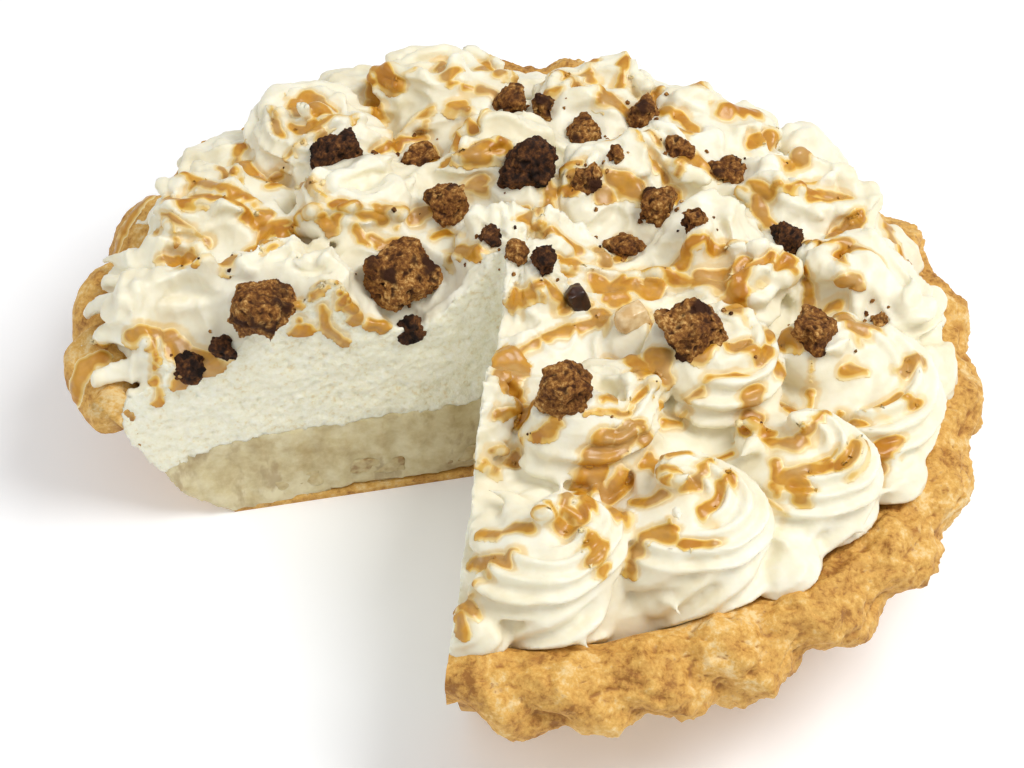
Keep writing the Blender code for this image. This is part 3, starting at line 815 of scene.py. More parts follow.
print("rosettes:", len(LARGE_ROSETTES), "large and", len(SMALL_ROSETTES), "small")

# %% Where a rosette stands


def through(keys, at):
    """A smooth curve through evenly spaced values."""
    keys = np.array(keys)
    index = np.clip(at.astype(int), 0, len(keys) - 2)
    share = at - index
    before, here = keys[np.maximum(index - 1, 0)], keys[index]
    there, after = keys[index + 1], keys[np.minimum(index + 2, len(keys) - 1)]
    bend = 2 * before - 5 * here + 4 * there - after + share * (3 * (here - there) + after - before)
    return here + 0.5 * share * (there - before + share * bend)


def cream_top(radius):
    """Height of the whipped cream layer, domed towards the centre."""
    return (67.0 - 21.0 * (radius / (102.0 * MM)) ** 2.6) * MM


def seat(radius):
    """Height that a rosette's root stands on: inside the layer, or on the rim's roll."""
    across = np.minimum(radius - RIM_CENTRE_RADIUS, 0.8 * RIM_ROLL_RADIUS)
    on_rim = RIM_HEIGHT + np.sqrt(np.maximum(RIM_ROLL_RADIUS ** 2 - across ** 2, 0.0)) - 1.0 * MM
    on_layer = cream_top(radius) + 1.6 * MM
    return np.where(across <= -RIM_ROLL_RADIUS, on_layer, np.maximum(on_layer, on_rim))


# %% [markdown]
# Inside each rosette is a ribbed heap. It is sunk more at the front, where the ropes round it show best,
# and less elsewhere, where the peaks have settled into it.

# %% The heap in a rosette
ROSETTE_ROWS, ROSETTE_COLUMNS = 48, 96
# reach, height and depth of the ribs, each from the root of the heap to its peak
REACH_KEYS = (0.0, 0.92, 1.0, 0.93, 0.74, 0.46, 0.18, 0.0)
UP_KEYS = (0.0, 0.0, 0.20, 0.44, 0.65, 0.82, 0.93, 1.0)
DEPTH_KEYS = (0.0, 0.08, 0.16, 0.18, 0.18, 0.18, 0.15, 0.0)
HEAP_SHARE = 0.84
HEAP_SUNK, FRONT_HEAP_SUNK = 0.16, 0.3
HEAP_FOOT = 56


def rosette(row, ribs, seed):
    """The heap of cream inside one piped rosette, as a closed skin."""
    turn, distance, width, peak, start = row
    sunk = FRONT_HEAP_SUNK if 270 < turn < 345 and distance > 80 else HEAP_SUNK
    width, peak = HEAP_SHARE * width, peak - sunk * (peak - HEAP_FOOT)
    draw = random.Random(seed)
    lean = np.array((draw.uniform(-1.0, 1.0), draw.uniform(-1.0, 1.0))) * 2.0 * MM
    phase = [draw.uniform(0.0, TURN) for _ in range(3)]
    level = np.linspace(0.0, len(UP_KEYS) - 1.0, ROSETTE_ROWS + 2)[1:-1, None]
    around = np.linspace(0.0, TURN, ROSETTE_COLUMNS, endpoint=False)[None, :]
    reach, up, depth = (through(keys, level) for keys in (REACH_KEYS, UP_KEYS, DEPTH_KEYS))
    up = np.clip(up, 0.0, 1.0)
    uneven = around + 0.10 * np.sin(around + phase[0]) + 0.06 * np.sin(2 * around + phase[1])
    crease = 1.0 - np.abs(np.cos(0.5 * ribs * uneven)) ** 0.85
    wobble = 1.0 + 0.05 * np.sin(3 * around + phase[2] + 4.0 * up)
    reach = 0.5 * width * MM * reach * wobble * (1.0 - 1.3 * depth * crease)
    swept = math.radians(start) + around + math.radians(120) * up ** 0.7
    centre = distance * MM * toward(math.radians(turn))
    x = centre[0] + lean[0] * up ** 2 + reach * np.cos(swept)
    y = centre[1] + lean[1] * up ** 2 + reach * np.sin(swept)
    root = seat(np.hypot(x, y))
    rings = np.stack((x, y, root + (peak * MM - root) * up), axis=2)
    foot = (*centre, float(seat(np.hypot(*centre))))
    return skin("rosette", foot, rings, (*(centre + lean), peak * MM))


# %% [markdown]
# The rope is what the star nozzle leaves: a tube whose section is a star. It winds once or a little more
# round the heap while it thins out, on a path that is oval and leans, since no hand moves in a circle.

# %% The rope round the heap
ROPE_ROWS, ROPE_COLUMNS, ROPE_RIBS = 140, 90, 11
ROPE_GROOVE = 0.42


def piped_rope(row, seed):
    """The star-shaped rope that winds up over the heap to the peak of one rosette."""
    turn, distance, width, peak, start = row
    draw = random.Random(seed)
    lean = np.array((draw.uniform(-1.0, 1.0), draw.uniform(-1.0, 1.0))) * 3.5 * MM
    phase = draw.uniform(0.0, TURN)
    steps = np.linspace(0.0, 1.0, ROPE_ROWS)[:, None]
    around = np.linspace(0.0, TURN, ROPE_COLUMNS, endpoint=False)[None, :]
    flat, axis = draw.uniform(0.66, 0.95), draw.uniform(-0.8, 0.8)
    bearing = math.radians(start) - axis + draw.uniform(0.95, 1.3) * TURN * steps
    path = 0.27 * width * MM * (1.0 - steps ** 1.6) * (1.0 + 0.16 * np.sin(bearing * 1.5 + phase))
    rounded = np.sqrt(1.0 - np.clip(1.0 - steps / 0.07, 0.0, 0.96) ** 2)
    full = 0.235 * width * MM
    thick = full * (1.0 - 0.94 * steps ** 1.6) * rounded * (1.0 + 0.06 * np.sin(9 * steps + phase))
    furrow = (1.0 - np.abs(np.cos(0.5 * ROPE_RIBS * (around + 1.4 * steps)))) ** 0.85
    star = thick * (1.0 - ROPE_GROOVE * furrow)
    centre = distance * MM * toward(math.radians(turn))
    low = float(seat(np.hypot(*centre))) + 0.55 * full
    height = low + (peak * MM - low - 0.18 * full) * steps ** 1.05
    sideways = path + star * np.cos(around)
    east, north = sideways * np.cos(bearing), flat * sideways * np.sin(bearing)
    x = centre[0] + lean[0] * steps ** 2 + east * math.cos(axis) - north * math.sin(axis)
    y = centre[1] + lean[1] * steps ** 2 + east * math.sin(axis) + north * math.cos(axis)
    z = height + 0.92 * star * np.sin(around)
    z = np.maximum(z, seat(np.hypot(x, y)) - 1.5 * MM)
    rings = np.stack((x, y, z), axis=2)
    return skin("rope", rings[0].mean(axis=0), rings, (*rings[-1].mean(axis=0)[:2], peak * MM + 0.6 * MM))


# %% [markdown]
# Where the nozzle is pulled away, cream breaks off in a point. Such tips stand off the flanks of the
# rosettes, and a few long ones hang over the rim at the left.

# %% Pulled tips


def pulled_tip(root, tip, width):
    """A pointed tip of cream that the nozzle pulled out, from root to tip."""
    root, tip = np.array(root), np.array(tip)
    along = (tip - root) / np.linalg.norm(tip - root)
    side = np.cross(along, (0.0, 0.0, 1.0))
    side /= np.linalg.norm(side)
    above = np.cross(side, along)
    steps = np.linspace(0.0, 1.0, 14)[1:-1, None, None]
    around = np.linspace(0.0, TURN, 24, endpoint=False)[None, :, None]
    thick = 0.5 * width * (1.0 - steps) ** 0.8 * (1.0 - 0.2 * (1.0 - np.abs(np.cos(2.0 * around))))
    middle = root + (tip - root) * steps + above * (0.25 * width * np.sin(math.pi * steps))
    rings = middle + thick * (np.cos(around) * side + np.sin(around) * above)
    return skin("tip", root, rings, tip)


def tips_around(row, count, seed):
    """Small pulled tips that stand off the flanks of a rosette."""
    turn, distance, width, peak, _ = row
    draw = random.Random(seed)
    centre = distance * MM * toward(math.radians(turn))
    made = []
    for _ in range(count):
        bearing, low = draw.uniform(0.0, TURN), draw.uniform(0.15, 0.75)
        out = 0.5 * width * MM * (1.0 - 0.85 * low)
        start = centre + 0.75 * out * toward(bearing)
        base = seat(np.hypot(*start))
        height = base + (peak * MM - base) * low
        end = centre + (1.15 * out + draw.uniform(0, 2) * MM) * toward(bearing + draw.uniform(0.2, 0.6))
        lift = draw.uniform(-0.5, 3.5) * MM
        made.append(pulled_tip((*start, height), (*end, height + lift), draw.uniform(4.0, 7.5) * MM))
    return made


def rim_tip(turn, near, low, far, high, width):
    """A tip that hangs over the rim."""
    ray = toward(math.radians(turn))
    return pulled_tip((*(near * MM * ray), low * MM), (*(far * MM * ray), high * MM), width * MM)


# tips that hang over the rim at the left: angle, distance and height of the root and of the tip, width
RIM_TIPS = ((160, 95, 64, 115, 60, 13), (168, 95, 64, 119, 57, 15), (176, 96, 62, 117, 55, 13),
            (182.5, 97, 60, 117, 54, 11), (188, 97, 57, 115, 52, 9))

# %% [markdown]
# Under the rosettes lies one domed layer of whipped cream, down to the custard. Each topping also gets
# a low mound to lie on, so that none of them hangs in the air between two rosettes.

# %% The layer and the mounds
TOPPINGS = ("chocolate_chip", "toffee_piece", *(f"cake_chunk_{number:02}" for number in range(1, 29)))


def cream_layer():
    """The whipped layer, from its dome down to the custard."""
    top = [(radius * MM, lambda r, x, y: cream_top(r) + 6.5 * MM) for radius in np.linspace(2.0, 100.0, 26)]
    side = [(101.5, 47.5), (102.3, 38.5), (99.5, 31.0), (97.4, 26.5)]
    under = [(radius * MM, lambda r, x, y: custard_top(r, x, y) - 0.8 * MM)
             for radius in np.linspace(97.0, 1.5, 64)]
    rings = turned_rings([*top, *((r * MM, z * MM) for r, z in side), *under], 320)
    return skin("cream layer", (0, 0, 70 * MM), rings, (0, 0, custard_top(0, 0, 0)))


def rest_under(node):
    """A mound of cream that carries a topping, and (x, y, half its width, height of its seat)."""
    low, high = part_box(node)
    x, y = 0.5 * (low[0] + high[0]), 0.5 * (low[1] + high[1])
    half = 0.25 * (high[0] - low[0] + high[1] - low[1])
    top = low[2] + 0.4 * (high[2] - low[2])
    rings = []
    for rise in np.radians(np.linspace(-60.0, 84.0, 14)):
        reach, height = (half + 3 * MM) * math.cos(rise), top - 9 * MM * (1.0 - math.sin(rise))
        rings.append([(x + reach * math.cos(a), y + reach * math.sin(a), height)
                      for a in np.linspace(0.0, TURN, 24, endpoint=False)])
    return skin("rest", (x, y, top - 17 * MM), np.array(rings), (x, y, top)), (x, y, half, top)


# %% [markdown]
# All of it is joined and rebuilt as one even net, which melts the pieces together and rounds the
# creases as cream does.

# %% All the cream in one body
CREAM_SPACING = 0.7 * MM
OUTER_RIBS, INNER_RIBS = 7, 6
TIPS_PER_ROSETTE = 5
heaps = [rosette(row, OUTER_RIBS, 100 + index) for index, row in enumerate(OUTER_ROSETTES + SMALL_ROSETTES)]
heaps += [rosette(row, INNER_RIBS, 200 + index) for index, row in enumerate(INNER_ROSETTES)]
ropes = [piped_rope(row, 300 + index) for index, row in enumerate(LARGE_ROSETTES + SMALL_ROSETTES)]
for number, row in enumerate(LARGE_ROSETTES):
    ropes += tips_around(row, TIPS_PER_ROSETTE, 400 + number)
ropes += [rim_tip(*row) for row in RIM_TIPS]
mounds, rests = zip(*(rest_under(node) for node in TOPPINGS))
cream = joined("cream", [cream_layer(), *heaps, *ropes, *mounds])
even_mesh(cream, CREAM_SPACING)

# %% [markdown]
# A net made by rules is too regular for food piped in a hurry. Two sizes of noise push its points about,
# less at the front, where the rosettes are neat. Then the cream is pressed down round each topping, and
# long crests are raised on the rest. Blender takes the seed of vector noise from the clock, so a fixed
# seed is set first, which gives the same cream in every run.

# %% Hand-made unevenness
DRIFT_SEED = 1796027734
# how large the lumps are that drift together, and how far they drift
DRIFTS = ((17 * MM, 4.2 * MM), (7 * MM, 1.6 * MM))
FRONT_ROSETTES = (258.0, 266.0, 346.0, 356.0)
FRONT_CALM = 0.7
cream_points = points_of(cream.data)
soft_part = smooth_step(44 * MM, 60 * MM, cream_points[:, 2])


def at_front(points):
    """1 on the four front rosettes, which were piped with most care, and 0 elsewhere."""
    turn = np.degrees(np.arctan2(points[:, 1], points[:, 0])) % 360.0
    distance = np.hypot(points[:, 0], points[:, 1])
    return within(turn, *FRONT_ROSETTES) * smooth_step(58 * MM, 72 * MM, distance)


soft_part *= 1.0 - FRONT_CALM * at_front(cream_points)
noise.seed_set(DRIFT_SEED)
for size, depth in DRIFTS:
    drift = np.array([noise.noise_vector(Vector(point) / size) for point in cream_points])
    cream_points += drift * np.array((depth, depth, 0.6 * depth)) * soft_part[:, None]

# %% Cream pressed down round the toppings
PRESS_SLOPE, PRESS_SHARE = 0.9, 0.85
clear = np.ones(len(cream_points))
for x, y, half, top in rests:
    away = np.hypot(cream_points[:, 0] - x, cream_points[:, 1] - y)
    limit = top + 0.4 * MM + PRESS_SLOPE * np.maximum(0.0, away - 0.9 * half)
    above = np.maximum(0.0, cream_points[:, 2] - limit) * (away < half + 12 * MM)
    cream_points[:, 2] -= PRESS_SHARE * above
    clear = np.minimum(clear, smooth_step(half, half + 6 * MM, away))
move_points(cream.data, cream_points)

# %% Long crests with hollows between them
CREST_HEIGHT, CREST_SIZE = 2.8 * MM, 13 * MM
FRONT_CREST_CALM = 0.95
stretched = cream_points * np.array((0.45, 1.0, 1.0))
crests = np.maximum(0.0, 1.0 - 4.0 * np.abs(bumps(stretched, CREST_SIZE, 31.0))) ** 1.4
crests = (crests - 0.3) * clear * soft_part * (1.0 - FRONT_CREST_CALM * at_front(cream_points))
move_points(cream.data, cream_points + normals_of(cream.data) * (CREST_HEIGHT * crests)[:, None])
even_mesh(cream, CREAM_SPACING)
print("cream before the cut:", len(cream.data.polygons), "faces")
cut_with(cream, missing_slice)
cream = smeared_over(cream, CREAM_SMEAR, CREAM_SPACING)

# %% [markdown]
# The knife drags whipped cream into a rough, bubbly face, while the piped skin stays smooth with a
# slight grain. The same net of points carries both: only points that lie on a cut get the pores.

# %% Bubbles on the cut, grain on the rest
cream_points, cream_normals = points_of(cream.data), normals_of(cream.data)
cut_share = near_cuts(cream_points, cream_normals, 1.6 * MM)
# the pie unrolled into a strip that starts in the gap, so that the ridges run round it
swung = np.arctan2(cream_points[:, 1], cream_points[:, 0]) - math.radians(227.0)
distance = np.hypot(cream_points[:, 0], cream_points[:, 1])
unrolled = np.stack((distance, (swung % TURN) * 40 * MM, 0.8 * cream_points[:, 2]), axis=1)
ridges = np.zeros(len(cream_points))
for rise, size, seed in ((1.2, 11 * MM, 0.0), (0.3, 5 * MM, 7.0)):
    ridges += rise * np.maximum(0.0, 1.0 - 3.6 * np.abs(bumps(unrolled, size, seed))) ** 1.3
ridges *= 1.0 - 0.8 * at_front(cream_points)
grain = layered(cream_points, (0.25, 5, 0.0), (0.08, 2, 4.0))
grain += (ridges - 0.25) * (1.0 - np.minimum(1.0, 2.0 * cut_share))
torn = cut_share > 0.01
torn_points = cream_points[torn]
pores = np.maximum(0.0, 0.40 - cells(torn_points, 2.6 * MM)) * 2.0
crumbly = layered(torn_points, (0.5, 6, 2.0), (0.4, 1.9, 8.0))
grain[torn] += cut_share[torn] * (crumbly - pores - 0.1)
move_points(cream.data, cream_points + cream_normals * (grain * MM)[:, None])
paint(cream.data, "cut_face", cut_share)
print("points on the cut faces:", int(torn.sum()))

# %% [markdown]
# Cream is never pure white. Its piped skin is a little warmer than its torn inside, light soaks into
# both, and caramel stains it where a trickle lies close. The stain is painted further down, once the
# trickles are there.

# %% Cream finish
dairy = Finish("whipped_dairy_cream", 0.42)
cloudy = dairy.sums((dairy.noise(22 * MM, 2.0), 0.55), (dairy.noise(5 * MM, 3.0), 0.45))
piped_colour = dairy.ramp(cloudy, [(0.36, srgb(231, 222, 193)), (0.5, srgb(238, 232, 208)),
                                   (0.64, srgb(243, 239, 220))])
inner_tone = dairy.sums((dairy.noise(1.5 * MM, 4.0, 0.6), 0.75), (dairy.noise(7 * MM, 2.0), 0.25))
cut_colour = dairy.ramp(inner_tone, [(0.34, srgb(228, 214, 176)), (0.44, srgb(239, 235, 210)),
                                     (0.62, srgb(246, 244, 226))])
cut_value = dairy.painted("cut_face")
plain_cream = dairy.mix(cut_value, piped_colour, cut_colour)
soaked = dairy.ramp(dairy.noise(7 * MM), [(0.35, srgb(230, 198, 132)), (0.65, srgb(238, 218, 172))])
stain = dairy.sums((dairy.between(0.0, 1.0, dairy.painted("stain")), 0.8))
dairy.colour(dairy.mix(stain, plain_cream, soaked))
dairy.glow(0.3, 4 * MM, (1.0, 0.85, 0.6))
skin_grain = dairy.sums((dairy.noise(0.8 * MM, 3.0), 0.5), (dairy.noise(2.5 * MM, 3.0), 0.5))
bubbles = dairy.product(cut_value, dairy.noise(1.3 * MM, 4.0, 0.65))
dairy.bump(dairy.sums((skin_grain, 0.25), (bubbles, 1.6)), 0.6, 0.5 * MM)
dairy.shader.inputs["Specular IOR Level"].default_value = 0.4
dress(cream, dairy.material, "piped_cream", "piped_cream", "whipped_cream")

# %% [markdown]
# ## Caramel
#
# Thin caramel was trickled to and fro across the pie. It clings to the ridges in narrow lines and
# gathers in the creases. So its skin is a copy of the cream's, kept near the lines, lifted where the
# caramel lies and sunk where it doesn't, so that its edge is where the two skins meet.

# %% Lines of caramel
# each line: half its width, then x and y of its corners on the table, in millimetres
CARAMEL = (
    (0.7, -9, -63, -5, -62, 0, -56), (1.2, 7, -61, 9, -61), (1.6, 16, -68, 19, -65, 23, -64, 27, -59),
    (1.0, 10, -84, 12, -76, 17, -67), (1.3, 16, -76, 19, -69, 22, -69, 26, -65),
    (1.0, 10, -83, 13, -84, 16, -85), (1.1, 16, -75, 16, -84), (1.9, 22, -78, 24, -81),
    (0.9, 7, -84, 10, -87, 14, -88, 17, -90, 19, -92, 20, -97), (1.4, 18, -93, 18, -95),
    (1.3, -9, -84, -5, -86), (0.9, -5, -86, -1, -85, 2, -86, 6, -86), (1.3, -2, -92, -3, -94, -5, -94),
    (1.4, -11, -88, -7, -91, -5, -94), (1.2, 27, -90, 30, -86, 32, -85, 36, -86), (0.5, 36, -83, 36, -85),
    (1.0, 28, -74, 31, -76, 36, -76), (1.2, 35, -73, 40, -75, 44, -72, 47, -66),
    (1.0, 44, -81, 47, -78, 51, -72), (1.0, 40, -89, 46, -89), (1.0, -12, -98, -11, -98),
    (1.5, -13, -99, -11, -104), (1.1, -14, -103, -13, -107),
    (1.3, 31, -62, 36, -62), (2.8, -3, -28, -3, -41), (2.5, -3, -45, 3, -50),
    (0.9, -6, -52, 0, -49, 5, -52), (0.9, 0, -25, 3, -22, 8, -19, 14, -17, 19, -15),
    (1.8, 21, -12, 22, -15), (1.6, 18, -31, 23, -28, 27, -33, 30, -39, 30, -43), (1.0, 20, -55, 22, -53),
    (1.2, -2, -9, 2, -10, 7, -8, 11, -9), (0.8, 5, -10, 6, -11), (0.8, 12, -11, 16, -8, 19, -9),
    (1.6, 24, -4, 26, -1, 30, 2, 33, -2, 35, 1), (1.2, 27, -10, 31, -10, 34, -21), (1.3, 19, 2, 21, -2),
    (1.2, 24, -2, 27, 3), (1.5, 33, -36, 35, -37, 36, -42), (1.0, 40, -38, 45, -39, 50, -35, 54, -34),
    (1.8, 56, -34, 59, -36, 62, -34), (1.4, 63, -27, 68, -22, 71, -27),
    (0.6, 27, -52, 32, -47, 36, -47, 40, -46, 43, -45, 48, -43, 53, -42, 57, -42), (1.5, 58, -44, 58, -51),
    (0.9, 59, -52, 63, -54), (0.6, 16, -59, 20, -58, 23, -57, 27, -56),
    (1.1, 20, -62, 24, -61, 29, -58, 32, -61, 36, -67, 41, -66), (1.7, 20, -63, 22, -62),
    (0.7, -7, -60, 0, -58, 6, -61), (1.0, 62, -57, 65, -58, 68, -59, 70, -57, 74, -53, 76, -50),
    (0.7, 63, -63, 63, -66), (0.8, 70, -42, 74, -41), (1.1, 65, -35, 67, -37, 69, -44),
    (0.6, 74, -31, 74, -38), (0.8, 78, -44, 81, -41), (1.1, 82, -45, 85, -46),
    (0.6, 87, -43, 92, -41, 96, -39), (1.1, 97, -41, 100, -41), (0.8, 90, -43, 91, -42),
    (0.9, 82, -31, 88, -32), (1.2, 97, -32, 102, -27), (1.0, 64, -67, 68, -66, 72, -65, 76, -64),
    (1.4, 80, -64, 83, -60), (1.5, 88, -56, 93, -51), (1.3, 62, -69, 63, -70), (2.0, 68, -68, 69, -71),
    (0.6, 49, -56, 53, -55), (0.5, 61, -71, 65, -74), (1.0, 40, 69, 46, 64, 48, 60, 47, 56, 44, 56),
    (1.2, 42, 38, 49, 46, 54, 43), (1.2, 62, 36, 67, 32, 71, 31, 74, 33, 77, 34, 81, 35, 87, 35),
    (1.6, 83, 32, 88, 34), (1.0, 64, 32, 66, 26, 69, 24), (0.8, 59, 36, 61, 34),
    (0.8, 68, 49, 72, 43, 74, 44), (0.5, 78, 39, 81, 39), (1.0, 100, 37, 105, 10),
    (1.2, 42, 5, 47, 6, 51, 7, 58, 7, 62, 7), (1.0, 47, 1, 53, 1), (1.3, 76, 18, 81, 12, 86, 12),
    (1.7, 47, -2, 51, -4, 56, -6, 61, -2, 65, 1, 66, 3), (1.8, 56, -8, 56, -12, 55, -22),
    (1.7, 70, 4, 70, 1, 71, -1), (0.9, 75, 4, 76, 1, 77, -5), (1.3, 78, -6, 82, -4, 85, -4, 88, -3),
    (1.6, 82, -12, 85, -21, 90, -18), (1.2, 55, 0, 58, 2), (1.1, 85, 5, 84, 1), (0.9, 90, 8, 92, 8),
    (0.6, -34, 81, -30, 82), (1.1, -21, 80, -19, 81), (0.6, -20, 78, -14, 78),
    (1.1, -34, 66, -31, 66, -27, 68), (1.1, -39, 59, -34, 66), (0.6, -37, 68, -31, 69, -25, 72),
    (1.3, -20, 72, -17, 72, -15, 70), (1.1, -16, 66, -13, 61), (1.3, -26, 62, -25, 57),
    (1.0, -18, 61, -16, 50), (1.3, -11, 78, -7, 77), (1.6, -6, 87, -5, 87),
    (1.1, 7, 87, 12, 83, 17, 78, 22, 76, 27, 74, 30, 71), (1.4, 15, 78, 18, 76), (1.4, 22, 72, 27, 72),
    (0.9, 8, 75, 11, 75), (1.0, 24, 48, 28, 49, 33, 66), (0.8, -12, 55, -8, 59),
    (1.8, -19, 44, -14, 40, -9, 42, -5, 44), (1.1, -13, 36, -10, 38), (0.7, -15, 36, -12, 35, -9, 34),
    (1.2, -38, 21, -32, 22, -28, 25, -25, 26), (0.8, -33, 19, -31, 22), (0.9, -38, 14, -34, 16),
    (1.1, -33, 16, -29, 15), (0.4, -24, 17, -20, 21, -16, 14), (1.2, -19, 11, -15, 8, -11, 3),
    (0.8, -6, 28, -2, 26, 2, 25), (1.1, 1, 13, 5, 16, 8, 30), (1.1, 4, 11, 8, 11, 12, 9, 15, 8),
    (1.3, 10, 3, 14, 3), (1.1, 11, 38, 15, 39), (1.8, 14, 34, 19, 31, 22, 29),
    (1.6, 22, 33, 25, 33, 29, 32, 33, 30), (1.6, 21, 10, 23, 7), (1.6, 21, 1, 22, -1),
    (0.7, 31, 48, 34, 42, 37, 39, 40, 39), (1.1, 35, 50, 37, 47), (1.1, 42, 35, 46, 45, 50, 45),
    (1.1, 7, 33, 7, 31), (1.1, 11, 30, 15, 29), (1.0, 36, 1, 34, -3), (0.8, 30, 5, 37, 4, 45, -1),
    (0.8, 28, 19, 26, 11), (1.7, -63, 68, -59, 65, -55, 64),
    (1.0, -64, 61, -60, 58, -57, 57, -54, 59, -49, 62, -46, 63), (1.8, -58, 58, -57, 57),
    (0.7, -60, 53, -65, 50, -69, 50, -70, 42), (0.8, -70, 41, -66, 45), (0.7, -79, 64, -78, 64),
    (0.7, -79, 39, -80, 66), (1.2, -93, 42, -84, 35, -79, 32, -76, 30, -72, 31),
    (1.1, -97, 34, -92, 28, -89, 28, -86, 29, -82, 29, -78, 28, -75, 26, -72, 24, -68, 27),
    (1.2, -87, 29, -83, 28), (0.7, -97, 27, -92, 23, -85, 20), (0.4, -96, 24, -94, 24, -89, 4),
    (0.4, -85, 0, -80, 4, -76, 6), (1.1, -74, 15, -71, 17, -68, 23, -64, 25),
    (1.5, -65, 22, -64, 20, -63, 18),
    (1.1, -63, 23, -59, 24, -57, 22, -54, 21, -51, 18, -48, 20, -45, 21, -42, 20, -37, 20),
    (1.0, -60, 37, -55, 27, -52, 24), (1.1, -50, 21, -48, 22), (1.7, -75, 12, -71, 16, -67, 11),
    (1.5, -78, 4, -76, 4), (1.0, -52, -8, -50, -8), (0.7, -98, 25, -97, 26), (1.1, -40, 16, -37, 15),
    (0.8, -44, 18, -41, 14), (1.2, -102, -12, -99, -12, -96, -12, -93, -11, -92, -10),
    (2.0, -91, -12, -88, -15, -85, -15, -81, -15), (1.2, -90, -18, -87, -17, -84, -17, -82, -16),
    (0.8, -96, -14, -95, -18), (0.8, -78, -15, -77, -15), (1.0, -59, -11, -55, -11, -52, -10),
    (0.9, -58, -11, -59, -12), (1.2, -47, -9, -44, -8, -41, -8, -39, -7, -36, -6))
# drips with heights: two over the cut, and the caramel that ran on to the pastry rim
DRIPS = (
    (1.2, (-51.6, -10.0, 74.5), (-51.1, -10.0, 68.0), (-49.0, -9.5, 64.1), (-46.6, -8.4, 60.9)),
    (1.5, (-96.1, -18.9, 64.0), (-96.2, -18.9, 58.9)),
    (0.9, (-96.2, -19.1, 58.9), (-95.5, -18.8, 52.8), (-95.9, -18.9, 48.3)))
RIM_DRIPS = (
    (2.6, (-119.5, -17.5, 51.2), (-118.3, -13.3, 53.1), (-115.8, -9.8, 55.2), (-111.5, -8.9, 56.9)),
    (1.5, (-104.4, 53.2, 53.8), (-110.5, 46.0, 54.5), (-114.7, 36.3, 50.4)))
print("lines of caramel:", len(CARAMEL) + len(DRIPS) + len(RIM_DRIPS))

# %% Beads along the lines
BEAD_SPACING = 0.4 * MM
# degrees round the pie of the short trickles on the far side, which the photograph doesn't show
FAR_TRICKLES = range(8, 172, 7)
cream_surface = BVHTree.FromObject(cream, bpy.context.evaluated_depsgraph_get())


def height_of_cream(x, y):
    """The highest point of cream over a place on the table, or None."""
    hit, _, _, _ = cream_surface.ray_cast(Vector((x, y, 0.3)), Vector((0.0, 0.0, -1.0)))
    return hit.z if hit else None


def between_corners(corners, spacing):
    """Points along straight lines between corners."""
    made = []
    for start, end in zip(corners, corners[1:]):
        start, end = np.array(start) * MM, np.array(end) * MM
        count = max(2, round(float(np.linalg.norm(end - start)) / spacing))
        made += [start + (end - start) * share for share in np.linspace(0.0, 1.0, count)]
    return made


def beads_on_cream():
    """Every trickle as beads (x, y, z, half width) that lie on the cream."""
    lines = [(row[0], list(zip(row[1::2], row[2::2]))) for row in CARAMEL]
    far = random.Random(4)
    for turn in FAR_TRICKLES:
        ray = toward(math.radians(turn + far.uniform(-2, 2)))
        side = np.array((-ray[1], ray[0])) * far.uniform(-5, 5)
        lines.append((far.uniform(0.9, 1.7), [ray * far.uniform(84, 90), ray * far.uniform(94, 101) + side]))
    beads = []
    for width, corners in lines:
        for x, y in between_corners(corners, BEAD_SPACING):
            height = height_of_cream(x, y)
            swell = 1.75 + 1.0 * noise.noise(Vector((x, y, 0.0)) / (7 * MM))
            if height and height > cream_top(math.hypot(x, y)) - 2 * MM:
                beads.append((x, y, height, width * swell * MM))
    return beads


def beads_of(drips):
    """Beads along drips whose heights are given."""
    return [(*point, width * MM) for width, *corners in drips
            for point in between_corners(corners, BEAD_SPACING)]


def on_crust(beads):
    """The same beads, put down on the pastry below them."""
    pastry_surface = BVHTree.FromObject(crust, bpy.context.evaluated_depsgraph_get())
    hits = [pastry_surface.ray_cast(Vector((x, y, 0.1)), Vector((0.0, 0.0, -1.0)))[0] for x, y, _, _ in beads]
    return [(x, y, hit.z, width) for (x, y, _, width), hit in zip(beads, hits) if hit]


# %% [markdown]
# Caramel runs off the crests and gathers in the hollows. How deep a point lies in a hollow is found by
# averaging the heights round it again and again, and the caramel's edge moves out where it is deep.

# %% The caramel's edge
# the depth given to a point that no trickle comes near
FAR_OUTSIDE = -1.0


def hollows(points, edges, rounds):
    """How far each point lies below its surroundings, from repeated averaging of the heights."""
    edges = np.vstack((edges, edges[:, ::-1]))
    number = np.maximum(np.bincount(edges[:, 0], minlength=len(points)), 1)
    height = points[:, 2].copy()
    for _ in range(rounds):
        height = np.bincount(edges[:, 0], weights=height[edges[:, 1]], minlength=len(points)) / number
    return height - points[:, 2]


def cover(points, beads, hollow):
    """Metres inside (above 0) or outside (below 0) the edge of the caramel."""
    tree = kdtree.KDTree(len(beads))
    for index, bead in enumerate(beads):
        tree.insert(bead[:3], index)
    tree.balance()
    best = np.full(len(points), FAR_OUTSIDE)
    for number, point in enumerate(points):
        _, index, away = tree.find(point)
        if away < 6 * MM:
            best[number] = max(beads[i][3] - d for _, i, d in tree.find_n(point, 10))
    near = best > FAR_OUTSIDE
    wander = 0.25 + layered(points[near], (0.9, 6, 21.0), (0.35, 2.5, 23.0))
    best[near] += wander * MM + np.clip(2.0 * hollow[near], -0.9 * MM, 3.2 * MM)
    return best


# %% Skin of caramel


def edges_of(mesh):
    """The edges of a mesh as an array of vertex pairs."""
    values = np.empty(len(mesh.edges) * 2, dtype=np.int32)
    mesh.edges.foreach_get("vertices", values)
    return values.reshape(-1, 2)


